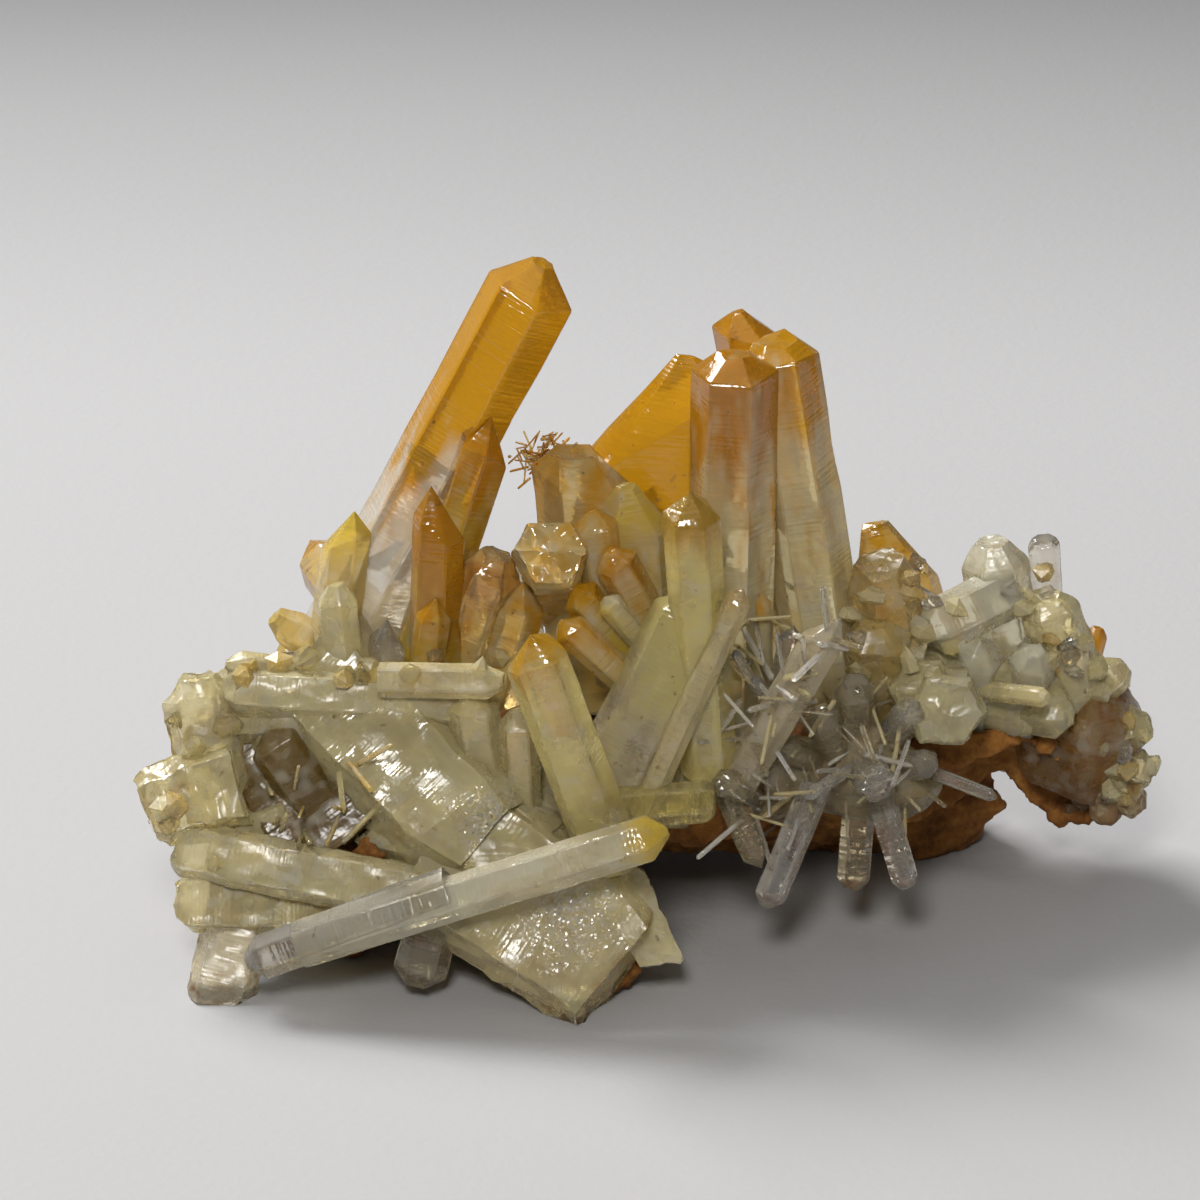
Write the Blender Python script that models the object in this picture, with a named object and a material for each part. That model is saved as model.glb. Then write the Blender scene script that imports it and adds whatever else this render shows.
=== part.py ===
"""A mango quartz cluster: iron-stained host rock under a crust of intergrown quartz crystals.

The places of the crystals were measured by hand on the picture plane of one view, in millimetres:
across to the right and up from the middle of the view, with the distance back along Y judged by eye.
seen() turns such a point into the cluster's own frame. X is to the right, Y is away, Z is up.
"""

import math
import random

import bmesh
import bpy
from mathutils import Matrix, Vector, noise

MM = 0.001
VIEW_TILT = math.radians(25.0)
VIEW_DISTANCE = 620.0
VIEW_MIDDLE = Vector((-4.2, 0.0, 36.5))
GAP = 0.3
# The middle of the finished cluster's box on the floor, in mm: it becomes the origin.
BOX_MIDDLE = Vector((1.0, 2.4, 0.0))
FACE_ANGLE = math.radians(60.0)
APOTHEM = math.cos(math.radians(30.0))
# A crystal's sides stand at least this share of its length high, its shoulder's heights differ by
# this share of the point, its broken end by this share of its size, and a slanting end draws its
# apex this share of the slant to the high side.
LEAST_SIDE = 0.25
UNEVEN_POINT = 0.25
UNEVEN_END = 0.1
APEX_SHIFT = 0.3

TO_VIEWER = Vector((0.0, -math.cos(VIEW_TILT), math.sin(VIEW_TILT)))
PICTURE_UP = Vector((0.0, math.sin(VIEW_TILT), math.cos(VIEW_TILT)))
EYE = VIEW_MIDDLE + VIEW_DISTANCE * TO_VIEWER

AMBER = (0.80, 0.52, 0.16)
HONEY = (0.84, 0.68, 0.38)
MILKY = (0.80, 0.77, 0.62)
CLEAR = (0.78, 0.78, 0.74)
RUST = (0.36, 0.19, 0.07)


def seen(across, up, back):
    """The point of the cluster at this place on the picture plane and this far back, in mm."""
    on_plane = VIEW_MIDDLE + Vector((across, 0.0, 0.0)) + up * PICTURE_UP
    ray = on_plane - EYE
    return EYE + ray * ((back - EYE.y) / ray.y)


def hexagon(width, flat, roll, unevenness, rng, grow):
    """Six corners of a quartz section, from six faces 60 degrees apart at their own distances."""
    distances = []
    for face in range(6):
        share = flat if face in (1, 4) else 1.0
        uneven = 1.0 + rng.uniform(-unevenness, unevenness)
        distances.append(width / 2 * APOTHEM * share * uneven + grow)
    corners = []
    for face in range(6):
        a = FACE_ANGLE * (face + 0.5) + roll
        b = a + FACE_ANGLE
        near, far = distances[face], distances[(face + 1) % 6]
        x = (near * math.sin(b) - far * math.sin(a)) / math.sin(FACE_ANGLE)
        y = (far * math.cos(a) - near * math.cos(b)) / math.sin(FACE_ANGLE)
        corners.append(Vector((x, y)))
    return corners


def crystal(foot, tip, width, flat=1.0, roll=0.0, point=0.5, blunt=0.0, slant=0.0, side=0.0,
            uneven=0.07, seed=1, grow=0.0):
    """A closed quartz prism from foot to tip, with six faces and a six-sided point.

    point is the height of the point and blunt the size of its broken end, as shares of the width.
    slant lowers the shoulder by so many mm on one side: 0 is the viewer's right, 90 towards the viewer.
    """
    rng = random.Random(seed)
    start, end = seen(*foot), seen(*tip)
    axis = (end - start).normalized()
    length = (end - start).length + grow
    right = axis.cross(TO_VIEWER).normalized()
    front = right.cross(axis)
    section = hexagon(width, flat, math.radians(roll), uneven, rng, grow)
    leaning = math.radians(side)
    apex = Vector((math.cos(leaning), math.sin(leaning))) * -APEX_SHIFT * min(slant, width / 2)

    def placed(flat_point, height):
        return start + right * flat_point.x + front * flat_point.y + axis * height

    foot_ring = [placed(c, -grow) for c in section]
    shoulder = []
    for c in section:
        toward = 0.5 + 0.5 * math.cos(math.atan2(c.y, c.x) - leaning)
        drop = point * width * (1.0 + rng.uniform(-UNEVEN_POINT, UNEVEN_POINT)) + slant * toward
        shoulder.append(placed(c, max(length - drop, LEAST_SIDE * length)))
    rough = [rng.uniform(-UNEVEN_END, UNEVEN_END) * width * blunt for _ in section]
    crown = [placed(apex + c * blunt, length + lift) for c, lift in zip(section, rough)]

    bm = bmesh.new()
    rings = [[bm.verts.new(p * MM) for p in ring] for ring in (foot_ring, shoulder)]
    if blunt:
        rings.append([bm.verts.new(p * MM) for p in crown])
    sides = [bm.faces.new(reversed(rings[0]))]
    for low, high in zip(rings, rings[1:]):
        for i in range(6):
            j = (i + 1) % 6
            side_face = bm.faces.new((low[i], low[j], high[j], high[i]))
            if low is rings[0]:
                sides.append(side_face)
    if blunt:
        bm.faces.new(rings[-1])
    else:
        top = bm.verts.new(placed(apex, length) * MM)
        for i in range(6):
            bm.faces.new((rings[1][i], rings[1][(i + 1) % 6], top))
    bmesh.ops.triangulate(bm, faces=[f for f in bm.faces if len(f.verts) > 3 and f not in sides])
    bmesh.ops.recalc_face_normals(bm, faces=bm.faces[:])
    return bm


TALL_LEFT = [
    dict(foot=(-27.0, -6.0, 5), tip=(-5.7, 33.7, 9), width=9.6, roll=8, point=0.34, blunt=0.25, seed=2),
    dict(foot=(-18.6, -7.0, 2), tip=(-10.4, 18.2, 3), width=5.8, roll=20, slant=1.5, seed=3),
    dict(foot=(-16.6, -9.0, -2), tip=(-16.0, 11.4, -1), width=5.6, roll=12, slant=3.0, seed=4),
    dict(foot=(-27.2, -9.0, 0), tip=(-25.0, 9.0, 2), width=4.9, roll=5, slant=1.5, side=180, seed=5),
    dict(foot=(-24.5, -7.5, 2), tip=(-32.6, -1.6, 1), width=4.2, blunt=0.5, seed=6),
    dict(foot=(-25.2, -10.0, -4), tip=(-26.4, 1.6, -3), width=4.4, roll=25, blunt=0.4, seed=7),
    dict(foot=(-22.0, -11.0, -4), tip=(-21.0, -2.0, -4), width=4.2, roll=15, slant=1.0, seed=8),
    dict(foot=(-23.0, -8.0, -3), tip=(-37.5, -6.4, -5), width=3.2, blunt=0.3, seed=9),
    dict(foot=(-15.0, -9.0, 1), tip=(-10.2, 4.6, -1), width=6.6, blunt=0.55, point=0.3, seed=10),
    dict(foot=(-10.5, -9.5, 1), tip=(-7.6, 1.8, -1), width=5.6, roll=10, seed=11),
    dict(foot=(-17.8, -9.5, -4), tip=(-16.4, 0.2, -4), width=3.8, roll=5, seed=12),
    dict(foot=(-20.0, -7.0, 6), tip=(-29.0, 6.0, 19), width=6.4, roll=14, seed=13),
    dict(foot=(-17.0, -3.0, 12), tip=(-17.5, 14.0, 19), width=6.6, roll=28, slant=2.0, side=90, seed=14),
]

MANGO_MIDDLE = [
    dict(foot=(3.8, -10.0, 8), tip=(6.2, 24.6, 10), width=16.4, flat=0.66, point=0.1, blunt=0.12,
         slant=11.0, side=180, uneven=0.03, seed=20),
    dict(foot=(12.6, -14.0, 4), tip=(13.6, 24.8, 5), width=9.0, roll=6, point=0.22, blunt=0.35, seed=21),
    dict(foot=(1.5, -9.0, 6), tip=(-0.6, 14.8, 5), width=13.0, flat=0.8, point=0.06, blunt=0.4,
         slant=6.5, side=0, uneven=0.03, seed=22),
    dict(foot=(4.8, -9.0, 1), tip=(3.4, 11.6, 2), width=7.4, point=0.35, blunt=0.25, slant=2.5, seed=23),
    dict(foot=(-4.0, 1.0, 8), tip=(-5.0, 4.8, -4), width=8.4, roll=12, point=0.1, blunt=0.85, seed=24),
    dict(foot=(7.0, -6.0, -2), tip=(1.0, 4.9, -4), width=4.6, point=0.3, blunt=0.3, seed=25),
    dict(foot=(5.5, -10.5, -4), tip=(-3.9, -2.2, -7), width=3.7, point=0.3, blunt=0.2, seed=26),
    dict(foot=(6.0, -6.2, -3), tip=(0.4, 0.3, -6), width=2.8, point=0.35, seed=27),
    dict(foot=(4.6, -7.4, -2), tip=(-2.8, 1.4, -4), width=4.4, point=0.35, seed=28),
    dict(foot=(2.0, -8.0, -1), tip=(-0.6, 9.0, -1), width=5.0, point=0.35, blunt=0.2, seed=29),
    dict(foot=(2.0, -4.0, 12), tip=(1.5, 12.0, 19), width=7.4, roll=18, seed=30),
]

TWIN_COLUMNS = [
    dict(foot=(23.6, -12.5, 7), tip=(17.4, 26.0, 9), width=8.6, roll=4, point=0.2, blunt=0.5, seed=40),
    dict(foot=(21.0, -9.0, 13), tip=(14.6, 29.0, 14), width=7.6, roll=10, point=0.15, blunt=0.2,
         slant=3.0, seed=41),
    dict(foot=(16.5, -12.0, 4), tip=(16.2, 0.6, 2), width=2.0, seed=42),
    dict(foot=(17.0, -12.0, 2), tip=(19.3, -2.5, 0), width=2.4, slant=0.6, side=180, seed=43),
    dict(foot=(18.0, -7.0, 12.5), tip=(22.5, 9.0, 21), width=6.2, roll=22, seed=44),
    dict(foot=(24.0, -9.0, 10.5), tip=(31.0, 0.5, 20), width=5.4, roll=12, seed=45),
]

RIGHT_CRUST = [
    dict(foot=(33.0, -8.0, 12), tip=(28.2, 7.8, 13), width=8.0, flat=0.6, blunt=0.35, slant=3.0, seed=50),
    dict(foot=(30.5, -11.0, 9), tip=(28.0, 3.6, 4), width=8.0, point=0.3, blunt=0.7, uneven=0.12, seed=51),
    dict(foot=(28.5, -14.0, 6), tip=(27.4, -2.0, 2), width=7.4, point=0.3, blunt=0.4, seed=52),
    dict(foot=(41.0, -8.0, 12), tip=(39.2, 6.0, 11), width=7.4, point=0.3, blunt=0.5, seed=53),
    dict(foot=(41.0, 1.0, 10), tip=(32.6, -3.2, 5), width=5.8, point=0.2, blunt=0.6, seed=54),
    dict(foot=(45.0, -8.0, 12), tip=(44.4, 6.2, 12), width=3.5, point=0.2, blunt=0.7, seed=55),
    dict(foot=(50.0, -14.0, 9), tip=(44.2, 0.5, 8), width=6.6, point=0.25, blunt=0.55, uneven=0.1, seed=56),
    dict(foot=(48.0, -10.0, 12), tip=(49.8, -2.8, 13), width=2.6, point=0.3, blunt=0.5, seed=57),
    dict(foot=(46.0, -12.0, 9), tip=(52.8, -6.4, 9), width=4.6, point=0.3, blunt=0.4, seed=58),
    dict(foot=(46.5, -14.0, 9), tip=(55.2, -12.4, 8), width=5.4, point=0.3, blunt=0.5, seed=59),
    dict(foot=(47.0, -15.0, 8), tip=(55.6, -17.6, 7), width=5.2, point=0.3, blunt=0.5, seed=60),
    dict(foot=(49.0, -15.0, 8), tip=(53.8, -21.4, 7), width=4.4, point=0.3, blunt=0.5, seed=61),
    dict(foot=(50.5, -13.0, 8), tip=(50.6, -22.4, 7), width=3.4, point=0.3, blunt=0.5, seed=62),
    dict(foot=(33.5, -9.0, 6), tip=(34.6, -11.4, -6), width=8.8, roll=14, point=0.1, blunt=0.8, seed=63),
    dict(foot=(31.5, -8.0, 6), tip=(32.4, -9.0, -3), width=7.2, roll=30, point=0.1, blunt=0.8, seed=64),
    dict(foot=(38.0, -9.0, 5), tip=(44.8, -9.8, -1), width=2.2, point=0.3, blunt=0.5, seed=65),
    dict(foot=(40.0, -10.0, 9), tip=(47.0, -11.6, 3), width=5.6, point=0.3, blunt=0.4, seed=66),
    dict(foot=(37.0, -12.0, 8), tip=(38.4, -4.0, 5), width=5.4, point=0.3, slant=1.0, seed=67),
    dict(foot=(42.0, -12.0, 9), tip=(43.5, -5.0, 4), width=5.0, point=0.3, blunt=0.4, seed=68),
]

GREY_SPRAY = [
    dict(foot=(13.6, -18.5, -8), tip=(23.8, -1.6, -11), width=4.3, roll=10, slant=1.0, side=180, seed=80),
    dict(foot=(21.6, -18.5, -7), tip=(16.5, -30.8, -13), width=3.5, roll=12, point=0.35, blunt=0.3, seed=81),
    dict(foot=(12.0, -17.5, -7), tip=(16.2, -26.8, -11), width=3.1, roll=5, seed=82),
    dict(foot=(15.6, -20.0, -4), tip=(12.4, -18.2, -12), width=3.8, point=0.2, blunt=0.6, seed=83),
    dict(foot=(27.6, -18.0, -5), tip=(30.8, -28.8, -9), width=3.1, roll=8, point=0.3, blunt=0.5, seed=84),
    dict(foot=(26.0, -19.0, -2), tip=(25.2, -29.0, -6), width=3.6, point=0.3, blunt=0.5, seed=85),
    dict(foot=(32.0, -16.8, -2), tip=(39.8, -19.8, -7), width=1.5, seed=86),
    dict(foot=(24.0, -16.0, -2), tip=(22.0, -11.0, -9), width=3.6, blunt=0.3, seed=87),
    dict(foot=(26.5, -16.0, -2), tip=(27.6, -18.6, -11), width=5.0, point=0.2, blunt=0.6, uneven=0.12,
         seed=88),
    dict(foot=(25.5, -16.5, -5), tip=(20.4, -19.8, -11), width=1.5, seed=89),
    dict(foot=(25.5, -15.0, -1), tip=(25.6, -8.4, -5), width=4.6, point=0.2, blunt=0.6, seed=90),
    dict(foot=(28.5, -15.0, -1), tip=(31.4, -10.4, -7), width=3.6, blunt=0.3, seed=91),
    dict(foot=(23.0, -17.0, -1), tip=(17.8, -14.4, -9), width=3.0, blunt=0.3, seed=92),
    dict(foot=(29.0, -17.0, -1), tip=(33.4, -16.2, -8), width=3.2, blunt=0.3, seed=93),
    dict(foot=(20.0, -18.0, 0), tip=(20.6, -22.4, -9), width=3.4, blunt=0.3, seed=94),
    dict(foot=(19.0, -12.5, -3), tip=(15.2, -7.8, -7), width=1.7, seed=97),
    dict(foot=(18.0, -13.0, -3), tip=(13.4, -5.0, -7), width=1.2, seed=98),
]

PALE_LEANERS = [
    dict(foot=(11.0, -17.0, -8), tip=(9.0, 10.8, -8), width=5.9, roll=3, point=0.42, seed=100),
    dict(foot=(0.6, -19.5, -9), tip=(11.0, 1.5, -6), width=8.4, flat=0.8, roll=6, seed=101),
    dict(foot=(4.2, -21.5, -12), tip=(14.4, 1.2, -10), width=2.9, roll=10, seed=102),
    dict(foot=(-6.0, -19.0, -4), tip=(10.0, -19.0, -6), width=8.0, point=0.2, blunt=0.6, seed=103),
    dict(foot=(-2.0, -21.0, -12), tip=(11.5, -20.0, -13), width=4.4, point=0.2, blunt=0.7, seed=104),
]

ORANGE_TIPPED = [
    dict(foot=(1.2, -26.0, -14), tip=(-7.3, -3.5, -19), width=6.4, roll=10, point=0.36, slant=1.2,
         side=200, seed=110),
]

FRONT_BAR = [
    dict(foot=(-30.0, -34.6, -18.5), tip=(6.8, -23.2, -21), width=4.6, roll=6, point=0.35, blunt=0.2,
         slant=0.8, side=90, seed=120),
    dict(foot=(-15.0, -28.8, -19.5), tip=(-35.2, -36.2, -18.5), width=4.8, roll=2, point=0.25, blunt=0.4,
         seed=121),
]

LEFT_BLOCK = [
    dict(foot=(-11.0, -10.6, -7), tip=(-38.0, -8.6, -5), width=6.4, point=0.3, blunt=0.5, seed=130),
    dict(foot=(-29.5, -6.0, -1), tip=(-11.4, -24.4, -13), width=15.0, flat=0.7, point=0.1, blunt=0.8,
         slant=3.0, side=60, uneven=0.03, seed=131),
    dict(foot=(-16.5, -24.0, -10.6), tip=(2.4, -36.6, -18), width=17.2, flat=0.5, point=0.08, blunt=0.85,
         slant=4.0, side=180, uneven=0.03, seed=132),
    dict(foot=(-37.7, -24.0, -8), tip=(-40.3, -7.1, -4.6), width=8.2, flat=0.7, point=0.25, blunt=0.5,
         seed=133),
    dict(foot=(-36.0, -18.0, -8.5), tip=(-45.8, -21.0, -10), width=9.0, flat=0.7, point=0.2, blunt=0.7,
         seed=134),
    dict(foot=(-16.0, -30.0, -15.5), tip=(-42.5, -24.6, -11), width=6.4, flat=0.7, point=0.2, blunt=0.6,
         seed=135),
    dict(foot=(-35.0, -27.0, -9), tip=(-38.2, -40.4, -16), width=7.6, flat=0.7, point=0.15, blunt=0.8,
         seed=136),
    dict(foot=(-20.0, -30.0, -12), tip=(-42.6, -29.8, -11), width=7.6, flat=0.7, point=0.2, blunt=0.6,
         seed=137),
    dict(foot=(-24.0, -24.0, -10), tip=(-35.5, -8.0, 0), width=17.0, flat=0.4, point=0.1, blunt=0.7,
         seed=138),
    dict(foot=(-27.0, -22.0, -9), tip=(-33.5, -13.0, -8), width=5.6, flat=0.6, point=0.3, seed=139),
    dict(foot=(-24.0, -7.4, -6), tip=(-15.6, -7.8, -8), width=3.0, blunt=0.3, seed=140),
    dict(foot=(-22.0, -8.0, -8), tip=(-9.6, -8.2, -10), width=3.8, blunt=0.5, seed=141),
    dict(foot=(-11.0, -22.0, -8), tip=(-13.0, -9.4, -9), width=5.4, point=0.3, blunt=0.3, seed=142),
    dict(foot=(-8.0, -21.0, -9), tip=(-8.4, -11.0, -9), width=4.4, point=0.3, blunt=0.3, seed=143),
    dict(foot=(-15.5, -27.0, -13), tip=(-18.4, -38.2, -16), width=5.6, point=0.2, blunt=0.6, seed=144),
    dict(foot=(-23.0, -10.4, -4.5), tip=(-38.6, -10.2, -4), width=8.8, flat=0.6, point=0.15, blunt=0.7,
         uneven=0.05, seed=145),
]

# The broken face to the right of the front slab: how thick the plate is, how far its middle swells
# towards the viewer, and its outline on the picture plane with the distance back.
LEFT_PLATES = [
    (5.0, 0.4, [(-5.0, -25.0, -13), (3.6, -26.0, -14), (5.6, -28.6, -14.5), (8.8, -36.5, -18),
                (4.0, -36.8, -18), (0.0, -31.0, -16)]),
]

BACK_CRUST = [
    dict(foot=(-29.0, -14.5, 12), tip=(-36.0, -13.0, 20), width=7.6, roll=10, point=0.6, seed=150),
    dict(foot=(-28.0, -14.0, 13), tip=(-33.0, -10.0, 26), width=5.4, roll=20, seed=151),
    dict(foot=(-26.0, -13.0, 11), tip=(-31.5, -3.0, 16), width=6.4, roll=5, seed=152),
    dict(foot=(-23.5, -14.0, 13), tip=(-25.5, -6.0, 25), width=8.8, roll=16, slant=2.5, side=90, seed=153),
    dict(foot=(-18.5, -14.0, 14), tip=(-17.5, -9.5, 27.5), width=5.4, roll=24, seed=154),
    dict(foot=(-15.0, -13.0, 13), tip=(-12.5, 1.5, 22), width=7.4, roll=8, point=0.6, seed=155),
    dict(foot=(-12.0, -14.5, 14), tip=(-12.0, -12.0, 26), width=6.4, roll=12, blunt=0.3, seed=156),
    dict(foot=(-8.0, -13.5, 14), tip=(-7.5, -1.5, 24.5), width=8.4, roll=27, slant=2.0, side=200, seed=157),
    dict(foot=(-4.0, -14.5, 14), tip=(-5.0, -10.5, 28), width=5.6, roll=6, seed=158),
    dict(foot=(0.0, -14.0, 14), tip=(3.0, -5.5, 27), width=7.2, roll=18, point=0.55, seed=159),
    dict(foot=(3.5, -13.5, 14), tip=(5.5, 1.0, 22), width=6.2, roll=11, seed=160),
    dict(foot=(7.0, -14.5, 14), tip=(8.5, -12.5, 26.5), width=6.4, roll=3, blunt=0.4, seed=161),
    dict(foot=(11.0, -13.5, 14), tip=(13.0, -2.5, 26), width=8.6, roll=15, seed=162),
    dict(foot=(15.5, -14.0, 14.5), tip=(17.0, -9.0, 28), width=5.6, roll=22, seed=163),
    dict(foot=(20.0, -13.5, 14.5), tip=(24.5, -7.5, 26), width=7.6, roll=9, slant=2.0, side=0, seed=164),
    dict(foot=(25.0, -13.0, 14.5), tip=(30.0, -5.0, 24), width=6.6, roll=19, seed=165),
    dict(foot=(29.0, -13.5, 14.5), tip=(36.5, -11.5, 24), width=6.8, roll=2, blunt=0.3, seed=166),
]

# The quartz that the crystals stand on, and the host rock, as lumps: a centre and three radii in mm.
LEFT_MASSES = [
    ((-30.0, -4.5, 20.5), (12.0, 4.5, 6.5)),
    ((-17.0, -9.0, 14.5), (10.0, 6.5, 7.0)),
    ((-38.0, -7.0, 11.5), (5.5, 5.0, 7.5)),
]
RIGHT_MASSES = [
    ((27.5, 8.0, 24.0), (7.5, 6.5, 5.0)),
    ((38.0, 10.0, 22.5), (8.0, 6.5, 4.5)),
    ((46.0, 10.0, 16.0), (6.0, 5.5, 7.0)),
]
TUFT_MASSES = [
    ((-10.0, 8.0, 49.8), (3.2, 2.4, 2.6)),
]
GREY_MASSES = [
    ((13.0, -2.0, 18.0), (6.5, 4.5, 5.0)),
    ((22.0, -2.0, 18.5), (7.0, 4.5, 5.0)),
]
ROCK_LUMPS = [
    ((-24.0, 1.0, 13.5), (16.0, 14.0, 7.5)),
    ((0.0, 7.0, 15.5), (20.0, 14.0, 7.0)),
    ((25.0, 11.0, 15.0), (17.0, 11.5, 7.5)),
    ((43.0, 12.5, 14.0), (7.5, 8.0, 8.0)),
    ((-13.0, -8.5, 7.0), (12.0, 8.0, 6.0)),
    ((-7.0, -13.5, 2.5), (7.0, 4.5, 4.5)),
    ((-31.0, -2.0, 5.0), (7.5, 7.0, 7.0)),
    ((4.0, 15.0, 9.0), (31.0, 9.0, 8.0)),
    ((-17.0, 16.0, 5.0), (12.0, 7.5, 8.5)),
    ((26.0, 19.0, 5.0), (12.0, 6.5, 8.5)),
]
ROCK_HOLLOWS = [
    ((37.0, 2.5, 9.5), (11.0, 11.0, 8.5)),
]
# How uneven a lump is in mm, and how often its ball is divided.
ROCK_SURFACE = (1.1, 2)
QUARTZ_SURFACE = (0.7, 2)
# The lumps' unevenness: how closely its broad and its fine waves stand, per mm.
BROAD_WAVES = 0.16
FINE_WAVES = 0.4
# The block that cuts everything off at the floor: half its width and depth, and its height.
FLOOR_CUT = (80.0, 60.0, 30.0)
ROCK_ROUGHNESS = 0.9
QUARTZ_ROUGHNESS = 0.2

GROUPS = [
    ("yellow_tipped_front_bar", FRONT_BAR, [], [], HONEY),
    ("orange_tipped_point", ORANGE_TIPPED, [], [], HONEY),
    ("pale_leaning_points", PALE_LEANERS, [], [], HONEY),
    ("tall_left_points", TALL_LEFT, [], [], AMBER),
    ("mango_middle_points", MANGO_MIDDLE, [], [], AMBER),
    ("tall_right_columns", TWIN_COLUMNS, [], [], HONEY),
    ("needle_tuft", [], [], TUFT_MASSES, HONEY),
    ("grey_clear_spray", GREY_SPRAY, [], GREY_MASSES, CLEAR),
    ("milky_left_block", LEFT_BLOCK, LEFT_PLATES, LEFT_MASSES, MILKY),
    ("right_crystal_crust", RIGHT_CRUST, [], RIGHT_MASSES, MILKY),
    ("back_crystal_crust", BACK_CRUST, [], [], MILKY),
]


def plate(thickness, swell, outline, grow=0.0):
    """A closed slab with this outline seen from the front, its middle swelling towards the viewer."""
    front = [seen(*point) for point in outline]
    middle = sum(front, Vector()) / len(front)
    bm = bmesh.new()
    outward = [(p - middle).normalized() for p in front]
    near = [bm.verts.new((p + (o + TO_VIEWER) * grow) * MM) for p, o in zip(front, outward)]
    far = [bm.verts.new(v.co - TO_VIEWER * (thickness + 2.0 * grow) * MM) for v in near]
    top = bm.verts.new((middle + TO_VIEWER * (swell + grow)) * MM)
    back = bm.verts.new((middle - TO_VIEWER * (thickness + grow)) * MM)
    for i in range(len(outline)):
        j = (i + 1) % len(outline)
        bm.faces.new((near[i], near[j], top))
        bm.faces.new((far[j], far[i], back))
        bm.faces.new((near[j], near[i], far[i], far[j]))
    bmesh.ops.triangulate(bm, faces=bm.faces[:])
    bmesh.ops.recalc_face_normals(bm, faces=bm.faces[:])
    return bm


def lump(centre, radii, roughness, fineness, seed, grow=0.0):
    """A closed uneven lump about a centre: a ball of three radii pushed in and out by smooth noise."""
    bm = bmesh.new()
    bmesh.ops.create_icosphere(bm, subdivisions=fineness, radius=1.0)
    shift = Vector((seed * 7.1, seed * 3.7, seed * 5.3))
    for vert in bm.verts:
        out = vert.co.normalized()
        place = Vector(centre) + Vector((out.x * radii[0], out.y * radii[1], out.z * radii[2]))
        bump = noise.noise(place * BROAD_WAVES + shift) + 0.5 * noise.noise(place * FINE_WAVES + shift)
        vert.co = (place + out * (bump * roughness * 2.0 + grow)) * MM
    return bm


def material(name, colour, roughness):
    made = bpy.data.materials.new(name)
    made.use_nodes = True
    shader = made.node_tree.nodes["Principled BSDF"]
    shader.inputs["Base Color"].default_value = (*colour, 1.0)
    shader.inputs["Metallic"].default_value = 0.0
    shader.inputs["Roughness"].default_value = roughness
    return made


def helper(name, bm, collection):
    """A mesh object that only shapes a node, kept out of the result."""
    mesh = bpy.data.meshes.new(name)
    bm.to_mesh(mesh)
    bm.free()
    obj = bpy.data.objects.new(name, mesh)
    collection.objects.link(obj)
    obj.hide_render = True
    obj.display_type = "WIRE"
    return obj


def helpers_for(name, crystals, plates, lumps, surface, grow):
    """The crystals, plates and lumps of one node, each a helper object, in a collection of their own."""
    collection = bpy.data.collections.new(name)
    bpy.context.scene.collection.children.link(collection)
    for given in crystals:
        helper(name + "_crystal", crystal(**given, grow=grow), collection)
    for given in plates:
        helper(name + "_plate", plate(*given, grow=grow), collection)
    for i, (centre, radii) in enumerate(lumps):
        helper(name + "_lump", lump(centre, radii, *surface, i + 1, grow), collection)
    return collection


def add_boolean(obj, name, operation, collection):
    modifier = obj.modifiers.new(name, "BOOLEAN")
    modifier.operation = operation
    modifier.operand_type = "COLLECTION"
    modifier.solver = "EXACT"
    modifier.collection = collection


def keep_largest_island(mesh):
    """Drops the crumbs that a cut leaves beside the main body."""
    bm = bmesh.new()
    bm.from_mesh(mesh)
    left = set(bm.verts)
    islands = []
    while left:
        queue = [left.pop()]
        island = set(queue)
        while queue:
            for edge in queue.pop().link_edges:
                for vert in edge.verts:
                    if vert not in island:
                        island.add(vert)
                        left.discard(vert)
                        queue.append(vert)
        islands.append(island)
    islands.sort(key=len)
    for island in islands[:-1]:
        bmesh.ops.delete(bm, geom=list(island), context="VERTS")
    bm.to_mesh(mesh)
    bm.free()


def make_node(name, own, cutters, colour, roughness):
    """One closed body: the union of a node's helpers, less those of its neighbours."""
    obj = own.objects[0]
    own.objects.unlink(obj)
    bpy.context.scene.collection.objects.link(obj)
    add_boolean(obj, "grown together", "UNION", own)
    for cutter in cutters:
        add_boolean(obj, "clear of " + cutter.name, "DIFFERENCE", cutter)
    graph = bpy.context.evaluated_depsgraph_get()
    mesh = bpy.data.meshes.new_from_object(obj.evaluated_get(graph), depsgraph=graph)
    keep_largest_island(mesh)
    mesh.transform(Matrix.Translation(-BOX_MIDDLE * MM))
    obj.modifiers.clear()
    obj.data = mesh
    obj.name = name
    mesh.name = name
    mesh.materials.append(material(name, colour, roughness))
    obj.hide_render = False
    obj.display_type = "TEXTURED"


def floor_cutter():
    """What lies below the surface that the cluster rests on."""
    collection = bpy.data.collections.new("below_the_floor")
    bpy.context.scene.collection.children.link(collection)
    bm = bmesh.new()
    bmesh.ops.create_cube(bm, size=2.0)
    across, deep, high = FLOOR_CUT
    for vert in bm.verts:
        vert.co = Vector((vert.co.x * across, vert.co.y * deep, (vert.co.z - 1.0) * high)) * MM
    helper("below_the_floor", bm, collection)
    return collection


def clear_scene():
    for obj in list(bpy.data.objects):
        bpy.data.objects.remove(obj)


def remove_helpers(collections):
    for collection in collections:
        for obj in list(collection.objects):
            bpy.data.objects.remove(obj)
        bpy.data.collections.remove(collection)


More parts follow.
